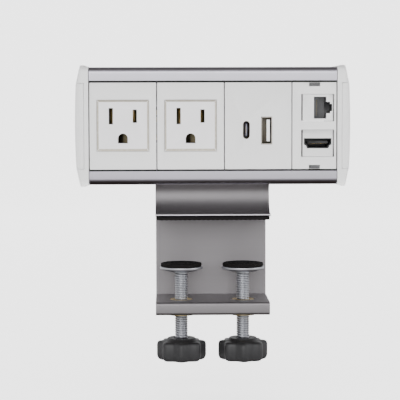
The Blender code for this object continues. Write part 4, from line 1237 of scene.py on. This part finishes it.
class POWERUNIT_OT_outlets(PieceOperator):
    """Make the outlet fronts and their sprung brass contacts"""

    bl_idname = "powerunit.outlets"
    bl_label = "Outlets"

    def execute(self, context):
        for name in ("outlet_1", "outlet_2"):
            front = low(f"{name}_receptacle").y
            obj = new_piece(f"{name}_front", cad_copy(f"{name}_receptacle"))
            round_edges(obj, FRONT_EDGE)
            finished(obj, "receptacle_plastic", stands_for=(f"{name}_receptacle",))
            # Painted shade: the chamfers round each outlet front get a darker tan, standing in for
            # shade in the gap round the insert
            crevice_shaded(
                obj,
                lambda face: face.center.y < front + SEAM_DEPTH
                and SEAM_SLOPE[0] < abs(face.normal.y) < SEAM_SLOPE[1]
                and face.area > SEAM_AREA,
            )
            for word in ("neutral", "line", "ground"):
                self.contact(f"{name}_{word}_contact", word)
            refined(f"{name}_contact_carrier", "port_black_and_shade", MOULD_EDGE)
        return {"FINISHED"}

    def contact(self, node, word):
        # Painted shade: the ground contact is all dark brass, and the other contacts go darker
        # behind their mouths
        if word == "ground":
            refined(node, "deep_shaded_brass", SHEET_EDGE)
            return
        obj = refined(node, "brass", SHEET_EDGE)
        mouth = low(node).y + CONTACT_BRIGHT
        dressed(obj, "shaded_brass", lambda face: face.center.y > mouth)


CASE_EDGE = 0.0004
USB_A_RIM = 0.0004
USB_A_ROOT = 0.0010
USB_PAD_THICKNESS = 0.00012
USB_PAD_START = 0.0004
USB_PAD_END = 0.0045


class POWERUNIT_OT_usb(PieceOperator):
    """Make the two USB ports and the charger behind them"""

    bl_idname = "powerunit.usb"
    bl_label = "USB Ports"

    def execute(self, context):
        # Painted shade: the USB-C shell is dark nickel, and the USB-A shell goes darker behind its
        # rim
        refined("usb_c_shell", "shaded_nickel", SHEET_EDGE)
        refined("usb_c_tongue", "port_grey", SHEET_EDGE)
        shell = refined("usb_a_shell", "nickel", SHEET_EDGE)
        mouth = low("usb_a_shell").y + USB_A_RIM
        dressed(shell, "shaded_nickel", lambda face: face.center.y > mouth)
        tongue = refined("usb_a_tongue", "tongue_white", MOULD_EDGE)
        root = low("usb_a_tongue").y + USB_A_ROOT
        # Painted shade: the tongue's faces towards -X go black
        dressed(tongue, "port_black_and_shade", lambda face: face.normal.x < -0.5)
        dressed(tongue, "port_beige", lambda face: face.normal.y < -0.5 and face.center.y > root)
        self.pads("usb_a_tongue", count=4, pitch=0.0023, width=0.0010, offset=0.00005)
        self.pads("usb_c_tongue", count=8, pitch=0.0006, width=0.0003, offset=-0.00035)
        refined("usb_charger_case", "black_plastic", CASE_EDGE)
        refined("usb_circuit_board", "circuit_board", MOULD_EDGE)
        return {"FINISHED"}

    def pads(self, node, count, pitch, width, offset):
        """Gold contact pads on one face of a tongue."""
        x, y, half = middle(node).x + offset, low(node).y, USB_PAD_THICKNESS / 2
        near = (x - half, y + USB_PAD_START, -width / 2)
        far = (x + half, y + USB_PAD_END, width / 2)
        obj = new_piece(f"{node}_pads", box_shape(near, far), (0, 0, middle(node).z))
        with_tree(obj, "row", Count=count, Step=(0, 0, pitch), Finish=FINISHES["gold"])
        finished(obj, "gold")


HDMI_PINS = 10
HDMI_PIN_PITCH = 0.001
HDMI_PIN_HALF = 0.00017
HDMI_PIN_START = 0.0004
HDMI_PIN_END = 0.006
HDMI_PIN_HEIGHTS = (-0.00062, -0.0005)
HDMI_RISE = 0.0004
LATCH_EDGE = 0.0002


def split_across(mesh, x):
    """Edges added where an upright plane across X meets the mesh."""
    shape = bmesh.new()
    shape.from_mesh(mesh)
    everything = [*shape.verts, *shape.edges, *shape.faces]
    bmesh.ops.bisect_plane(shape, geom=everything, plane_co=(x, 0, 0), plane_no=(1, 0, 0))
    shape.to_mesh(mesh)
    shape.free()


class POWERUNIT_OT_data(PieceOperator):
    """Make the network and display couplers with their contacts"""

    bl_idname = "powerunit.data"
    bl_label = "Data Couplers"

    def execute(self, context):
        self.network()
        refined("hdmi_coupler_body", "keystone_plastic", MOULD_EDGE)
        for word in ("shell", "tongue"):
            refined(f"hdmi_{word}", "port_black_and_shade", SHEET_EDGE)
        # Painted shade: the comb's wires are a darker copy of brass, deep in the jack
        comb = refined("rj45_contact_comb", "shaded_brass", COMB_EDGE)
        base = low("rj45_contact_comb").x + COMB_BASE
        dressed(comb, "comb_grey", lambda face: face.center.x < base)
        self.pins()
        for word in ("top", "bottom"):
            refined(f"data_latch_{word}", "grey_plastic", LATCH_EDGE)
        return {"FINISHED"}

    def network(self):
        body = refined("rj45_coupler_body", "white_plastic", MOULD_EDGE)
        near, far = low("rj45_coupler_body"), high("rj45_coupler_body")
        notch = low("rj45_contact_comb").x - GAP + JACK_WIDTH
        split_across(body.data, notch)

        def inside(face):
            spans = zip(near, face.center, far)
            return all(start + GAP < spot < end - GAP for start, spot, end in spans)

        # Painted shade: inside the network jack goes grey, and the latch notch black
        dressed(body, "jack_shade_grey", inside)
        dressed(body, "port_black_and_shade", lambda face: inside(face) and face.center.x > notch)

    def pins(self):
        front, centre = low("hdmi_tongue").y, middle("hdmi_coupler_body")
        near = (-HDMI_PIN_HALF, front + HDMI_PIN_START, HDMI_PIN_HEIGHTS[0])
        far = (HDMI_PIN_HALF, front + HDMI_PIN_END, HDMI_PIN_HEIGHTS[1])
        place = (centre.x, 0, centre.z + HDMI_RISE)
        obj = new_piece("hdmi_pins", box_shape(near, far), place)
        step = (HDMI_PIN_PITCH, 0, 0)
        with_tree(obj, "row", Count=HDMI_PINS, Step=step, Finish=FINISHES["gold"])
        finished(obj, "gold")


INLET_EDGE = 0.0003


class POWERUNIT_OT_inlet(PieceOperator):
    """Make the mains inlet and the bus bars it feeds"""

    bl_idname = "powerunit.inlet"
    bl_label = "Mains Inlet"

    def execute(self, context):
        refined("inlet_housing", "black_plastic", INLET_EDGE, segments=3)
        for word in ("neutral", "line", "ground"):
            refined(f"inlet_{word}_pin", "nickel", INLET_EDGE)
            refined(f"{word}_bus_bar", "brass", MOULD_EDGE)
        return {"FINISHED"}


# ---- Clamp and screws ----------------------------------------------------------------------------

BUSH_BORE = 0.0040
BUSH_RADIUS = 0.0062
BUSH_FLANGE = 0.0080
BUSH_FLANGE_HEIGHT = 0.0012
FACE_GROOVES = (0.0030, 0.0055, 0.0080)
DISC_NECK = 0.0067
DISC_RIM = 0.0014
DISC_SOCKET = 0.0040
DISC_SOCKET_DEPTH = 0.002
THREAD_DEPTH_SHARE = 0.42
THREAD_ROOT_SHARE = 0.95
THREAD_START = 0.001
SCREW_TIP = 0.0022
SCREW_CHAMFER = 0.0006
KNOB_LOBE = 0.0011
KNOB_LOBE_SIDES = 16
KNOB_VALLEY = 0.8
KNOB_BORE = 0.0040
KNOB_BORE_DEPTH = 0.010


def knob_shape(place, z_low, z_high, lobes, radius, lobe):
    """Lobed grip with a dished underside and a domed boss on it."""
    height = z_high - z_low
    profile = [
        (0.50, height, 0.0), (0.60, height, 0.0), (0.62, height - 0.0003, 0.0),
        (0.66, height - 0.0012, 0.1), (0.80, height - 0.0016, 0.5), (0.92, height - 0.0018, 1.0),
        (0.97, height - 0.0023, 1.0), (1.0, height - 0.0035, 1.0), (1.0, 0.0035, 1.0),
        (0.97, 0.0022, 1.0), (0.92, 0.0013, 1.0), (0.86, 0.0009, 0.8), (0.80, 0.0010, 0.3),
        (0.72, 0.0020, 0.0), (0.62, 0.0026, 0.0), (0.55, 0.0024, 0.0), (0.53, 0.0012, 0.0),
        (0.48, 0.0004, 0.0), (0.30, 0.0, 0.0), (0.12, 0.0, 0.0),
    ]
    sides = lobes * KNOB_LOBE_SIDES
    rings = []
    for share, rise, swing in profile:
        ring = []
        for k in range(sides):
            angle = 2 * math.pi * k / sides
            wave = math.cos(lobes * angle)
            wave = wave if wave > 0 else wave * KNOB_VALLEY
            r = radius * share + lobe * swing * wave
            x, y = place[0] + r * math.cos(angle), place[1] + r * math.sin(angle)
            ring.append((x, y, z_low + rise))
        rings.append(ring)
    return skinned(rings)


class POWERUNIT_OT_clamp(PieceOperator):
    """Make both clamp screws with their knobs, bushes, discs and rubber faces"""

    bl_idname = "powerunit.clamp"
    bl_label = "Clamp Screws"

    def execute(self, context):
        shape = settings()[0]
        for name in ("clamp_1", "clamp_2"):
            pad, thumb = f"{name}_pad", f"{name}_thumbscrew"
            spot = middle(f"{name}_screw")
            place = (spot.x, spot.y)
            self.bush(name, place)
            self.face(name, place, pad)
            self.disc(name, place, pad)
            self.screw(name, place, thumb, shape.thread_pitch)
            self.knob(name, place, thumb, shape.knob_lobes)
        return {"FINISHED"}

    def bush(self, name, place):
        near, far = low(f"{name}_bush").z, high(f"{name}_bush").z
        bore, radius, flange = BUSH_BORE, BUSH_RADIUS, BUSH_FLANGE
        seat = near + BUSH_FLANGE_HEIGHT
        profile = [
            (bore, far - 0.0004), (bore + 0.0004, far), (radius - 0.0002, far),
            (radius, far - 0.0003), (radius, seat), (flange - 0.0002, seat),
            (flange, seat - 0.0002), (flange, near + 0.0003), (flange - 0.0003, near),
            (bore + 0.0004, near), (bore, near + 0.0004),
        ]
        shape = skinned([circle(place, r, z, 64) for r, z in profile], looped=True)
        finished(new_piece(f"{name}_bush_ring", shape), "brass", "unit", (f"{name}_bush",))

    def face(self, name, place, body):
        near, far = low(f"{name}_pad_face"), high(f"{name}_pad_face")
        radius, top, groove_floor = (far.x - near.x) / 2, far.z, far.z - 0.0003
        profile = [(0.0, top)]
        for groove in FACE_GROOVES:
            profile += [(groove - 0.0004, top), (groove - 0.0002, groove_floor)]
            profile += [(groove + 0.0002, groove_floor), (groove + 0.0004, top)]
        profile += [(radius - 0.0004, top), (radius - 0.0001, top - 0.0001)]
        profile += [(radius, top - 0.0004), (radius, near.z), (0.0, near.z)]
        obj = new_piece(f"{name}_rubber_face", turned_shape(profile, place))
        finished(obj, "black_rubber", body, (f"{name}_pad_face",))

    def disc(self, name, place, body):
        near, far = low(f"{name}_pressure_disc"), high(f"{name}_pressure_disc")
        radius, roof = (far.x - near.x) / 2, near.z + DISC_SOCKET_DEPTH
        profile = [(0.0, far.z), (radius, far.z), (radius, far.z - DISC_RIM), (DISC_NECK, near.z)]
        profile += [(DISC_SOCKET, near.z), (DISC_SOCKET, roof), (0.0, roof)]
        obj = new_piece(f"{name}_disc", turned_shape(softened(profile, 0.0004), place))
        finished(obj, "zinc_steel", body, (f"{name}_pressure_disc",))

    def screw(self, name, place, body, pitch):
        near, far = low(f"{name}_screw"), high(f"{name}_screw")
        radius = (far.x - near.x) / 2
        depth = pitch * THREAD_DEPTH_SHARE
        core = radius - depth * THREAD_ROOT_SHARE
        profile = [(0.0, far.z), (core * 0.75, far.z), (core, far.z - SCREW_CHAMFER)]
        profile += [(core, near.z), (0.0, near.z)]
        shank = new_piece(f"{name}_thread", turned_shape(profile, sides=48))
        with_tree(
            shank,
            "thread",
            Radius=radius - depth,
            Pitch=pitch,
            Turns=(far.z - near.z - SCREW_TIP - THREAD_START) / pitch,
            Depth=depth,
            Start=(0, 0, near.z + THREAD_START),
            Finish=FINISHES["zinc_steel"],
        )
        made_plain(shank)
        shank.data.transform(Matrix.Translation((*place, 0)))
        finished(shank, "zinc_steel", body, (f"{name}_screw",))

    def knob(self, name, place, body, lobes):
        near, far = low(f"{name}_knob"), high(f"{name}_knob")
        radius = (far.x - near.x) / 2 - KNOB_LOBE
        shape = knob_shape(place, near.z, far.z, lobes, radius, KNOB_LOBE)
        obj = new_piece(f"{name}_grip", shape)
        drill(obj, place, KNOB_BORE, far.z + OVERCUT, far.z - KNOB_BORE_DEPTH, 48)
        finished(obj, "black_plastic", body, (f"{name}_knob",), sharp=50)


HEAD = 0.0024
HEAD_HEIGHT = 0.0018
SHANK = 0.00125
CAP_SCREW_LENGTH = 0.010
RECESS_HALF = 0.00022


def screw_shape(length):
    """Pan-head screw, head up, seat at height 0."""
    profile = [(0.0, HEAD_HEIGHT), (HEAD * 0.75, HEAD_HEIGHT * 0.95)]
    profile += [(HEAD, HEAD_HEIGHT * 0.35), (HEAD, 0.0)]
    profile = softened(profile, HEAD * 0.3)
    profile += [(SHANK, 0.0), (SHANK, -length), (0.0, -length - SHANK)]
    return turned_shape(profile, sides=32)


class POWERUNIT_OT_screws(PieceOperator):
    """Make the screws that hold the end caps and the bracket"""

    bl_idname = "powerunit.screws"
    bl_label = "Screws"

    def execute(self, context):
        for word, side in (("left", -1), ("right", 1)):
            upper, lower = f"{word}_cap_screw_upper", f"{word}_cap_screw_lower"
            seat = side * (HOUSING_HIGH.x + GAP + FLANGE + GAP)
            turn = Matrix.Rotation(side * math.pi / 2, 4, "Y")
            place = Matrix.Translation((seat, middle(upper).y, LEVEL)) @ turn
            step = (0, 0, middle(upper).z - middle(lower).z)
            self.pair(f"{word}_cap_screws", CAP_SCREW_LENGTH, place, step, (upper, lower))
        left, right = "bracket_screw_left", "bracket_screw_right"
        seat = high(left).z - HEAD_HEIGHT
        length = seat - low(left).z - SHANK
        place = Matrix.Translation((0, middle(left).y, seat))
        step = (middle(right).x - middle(left).x, 0, 0)
        self.pair("bracket_screws", length, place, step, (left, right))
        return {"FINISHED"}

    def pair(self, name, length, place, step, nodes):
        """Two screws with cross recesses, a step apart about a place."""
        obj = new_piece(name, screw_shape(length))
        for turn in (0, math.pi / 2):
            near = (-HEAD * 0.55, -RECESS_HALF, HEAD_HEIGHT * 0.45)
            far = (HEAD * 0.55, RECESS_HALF, HEAD_HEIGHT * 1.2)
            cut(obj, moved(box_shape(near, far), Matrix.Rotation(turn, 4, "Z")))
        made_plain(obj)
        obj.data.transform(place)
        with_tree(obj, "row", Count=2, Step=step, Finish=FINISHES["zinc_steel"])
        finished(obj, "zinc_steel", stands_for=nodes)


# ---- Stage ---------------------------------------------------------------------------------------

# Tones of the room by height: dark desk side below, bright windows about the horizon, dim ceiling
ROOM_TONES = (
    (0.0, (0.02, 0.012, 0.01)),
    (0.14, (0.03, 0.02, 0.016)),
    (0.25, (0.20, 0.185, 0.18)),
    (0.37, (0.56, 0.54, 0.55)),
    (0.46, (0.92, 0.92, 0.93)),
    (0.54, (1.0, 1.0, 1.0)),
    (0.72, (0.90, 0.90, 0.93)),
    (0.86, (0.42, 0.40, 0.40)),
    (0.95, (0.10, 0.09, 0.085)),
    (1.0, (0.10, 0.09, 0.085)),
)

# Soft lights: name, place, size, share of the key light and colour
LAMPS = (
    ("front_soft", (-0.25, -1.6, 0.55), (1.6, 1.0), 1.0, (1.0, 1.0, 1.0)),
    ("top_soft", (0.0, -0.3, 1.5), (1.4, 1.2), 0.7, (1.0, 1.0, 1.0)),
    ("side_soft", (1.5, -0.5, 0.4), (0.8, 0.8), 0.3, (0.98, 0.99, 1.0)),
)

CARD_HALF_WIDTH = 4.0
CARD_FRONT = -12.0
CARD_CURVE_START = 1.2
CARD_CURVE = 0.8
CARD_TOP = 3.0
CARD_COLOUR = (0.90, 0.90, 0.90)
CAMERA_PLACE = (-0.0248, -0.8231, 0.0655)
CAMERA_PITCH = math.radians(3.88)
CAMERA_YAW = math.radians(1.27)
CAMERA_ROLL = math.radians(-0.14)


class POWERUNIT_OT_stage(PieceOperator):
    """Make the floor, the soft lights and the camera"""

    bl_idname = "powerunit.stage"
    bl_label = "Stage"

    def execute(self, context):
        stage = settings()[2]
        self.floor(stage.floor_level, stage.card_glow)
        self.room(stage.room_light)
        self.lamps(stage.key_light)
        self.camera(stage.lens)
        return {"FINISHED"}

    def floor(self, level, glow):
        """Sweep of pale card, flat below and curved up behind."""
        curve = arc((CARD_CURVE_START, level + CARD_CURVE), CARD_CURVE, -90, 0, 24)
        path = [(CARD_FRONT, level)] + curve + [(CARD_CURVE_START + CARD_CURVE, CARD_TOP)]
        shape = bmesh.new()
        sides = (-CARD_HALF_WIDTH, CARD_HALF_WIDTH)
        left, right = [[shape.verts.new((x, y, z)) for y, z in path] for x in sides]
        for i in range(len(path) - 1):
            shape.faces.new((left[i], right[i], right[i + 1], left[i + 1]))
        obj = new_piece("studio_sweep", shape)
        card = bpy.data.materials.new("pale_card")
        card.use_nodes = True
        tree = card.node_tree
        vector = tree.nodes.new("ShaderNodeTexCoord").outputs["Object"]
        tone = spread(tree, noise(tree, vector, scale=9.0, detail=3.0), (0.3, 0.7), (0.99, 1.0))
        shader = tree.nodes["Principled BSDF"]
        for label, value in (
            ("Base Color", toned(tree, CARD_COLOUR, tone)),
            ("Roughness", 0.9),
            ("Emission Color", (1.0, 1.0, 1.0, 1.0)),
            ("Emission Strength", glow),
        ):
            put(tree, shader.inputs[label], value)
        obj.data.materials.append(card)
        obj.visible_glossy = False

    def room(self, strength):
        world = bpy.data.worlds.new("studio")
        bpy.context.scene.world = world
        world.use_nodes = True
        tree = world.node_tree
        direction = tree.nodes.new("ShaderNodeTexCoord").outputs["Generated"]
        height = add(tree, "ShaderNodeSeparateXYZ", direction).outputs["Z"]
        ramp = add(tree, "ShaderNodeValToRGB", spread(tree, height, (-1.0, 1.0)))
        stops = ramp.color_ramp.elements
        for place, colour in ROOM_TONES[1:-1]:
            stops.new(place).color = (*colour, 1.0)
        stops[0].color = (*ROOM_TONES[0][1], 1.0)
        stops[-1].color = (*ROOM_TONES[-1][1], 1.0)
        backdrop = tree.nodes["Background"]
        put(tree, backdrop.inputs["Strength"], strength)
        put(tree, backdrop.inputs["Color"], ramp.outputs["Color"])

    def lamps(self, power):
        for name, place, size, share, tint in LAMPS:
            lamp = bpy.data.lights.new(name, "AREA")
            lamp.shape = "RECTANGLE"
            lamp.size, lamp.size_y = size
            lamp.energy = power * share
            lamp.color = tint
            obj = linked(name, lamp)
            obj.location = place
            obj.visible_glossy = name != "top_soft"
            aim = Vector((0, 0, LEVEL)) - Vector(place)
            obj.rotation_euler = aim.to_track_quat("-Z", "Y").to_euler()

    def camera(self, lens):
        camera = bpy.data.cameras.new("camera")
        camera.lens = lens
        camera.sensor_width = 36.0
        camera.clip_start = 0.01
        obj = linked("camera", camera)
        yaw = Matrix.Rotation(-CAMERA_YAW, 3, "Z")
        pitch = Matrix.Rotation(math.pi / 2 - CAMERA_PITCH, 3, "X")
        obj.rotation_euler = (yaw @ pitch @ Matrix.Rotation(CAMERA_ROLL, 3, "Z")).to_euler()
        obj.location = CAMERA_PLACE
        bpy.context.scene.camera = obj


OPERATORS = (
    POWERUNIT_OT_finishes,
    POWERUNIT_OT_housing,
    POWERUNIT_OT_bracket,
    POWERUNIT_OT_foot_pad,
    POWERUNIT_OT_end_caps,
    POWERUNIT_OT_faceplates,
    POWERUNIT_OT_outlets,
    POWERUNIT_OT_usb,
    POWERUNIT_OT_data,
    POWERUNIT_OT_inlet,
    POWERUNIT_OT_clamp,
    POWERUNIT_OT_screws,
    POWERUNIT_OT_stage,
)


class POWERUNIT_PT_panel(bpy.types.Panel):
    """Lists the settings, and the pieces in the order they are made"""

    bl_idname = "POWERUNIT_PT_panel"
    bl_label = "Desk Power Unit"
    bl_space_type = "VIEW_3D"
    bl_region_type = "UI"
    bl_category = "Power Unit"

    def draw(self, context):
        column = self.layout.column()
        for group in settings():
            for key in group.bl_rna.properties.keys():
                if key not in ("rna_type", "name"):
                    column.prop(group, key)
        for operator in OPERATORS:
            column.operator(operator.bl_idname)


CLASSES = (PowerUnitShape, PowerUnitFinish, PowerUnitStage, *OPERATORS, POWERUNIT_PT_panel)


def register():
    for each in CLASSES:
        bpy.utils.register_class(each)
    scene = bpy.types.Scene
    scene.power_unit_shape = bpy.props.PointerProperty(type=PowerUnitShape)
    scene.power_unit_finish = bpy.props.PointerProperty(type=PowerUnitFinish)
    scene.power_unit_stage = bpy.props.PointerProperty(type=PowerUnitStage)


def unregister():
    scene = bpy.types.Scene
    del scene.power_unit_shape
    del scene.power_unit_finish
    del scene.power_unit_stage
    for each in reversed(CLASSES):
        bpy.utils.unregister_class(each)


def main():
    register()
    for operator in OPERATORS:
        group, word = operator.bl_idname.split(".")
        getattr(getattr(bpy.ops, group), word)()


if __name__ == "__main__":
    main()
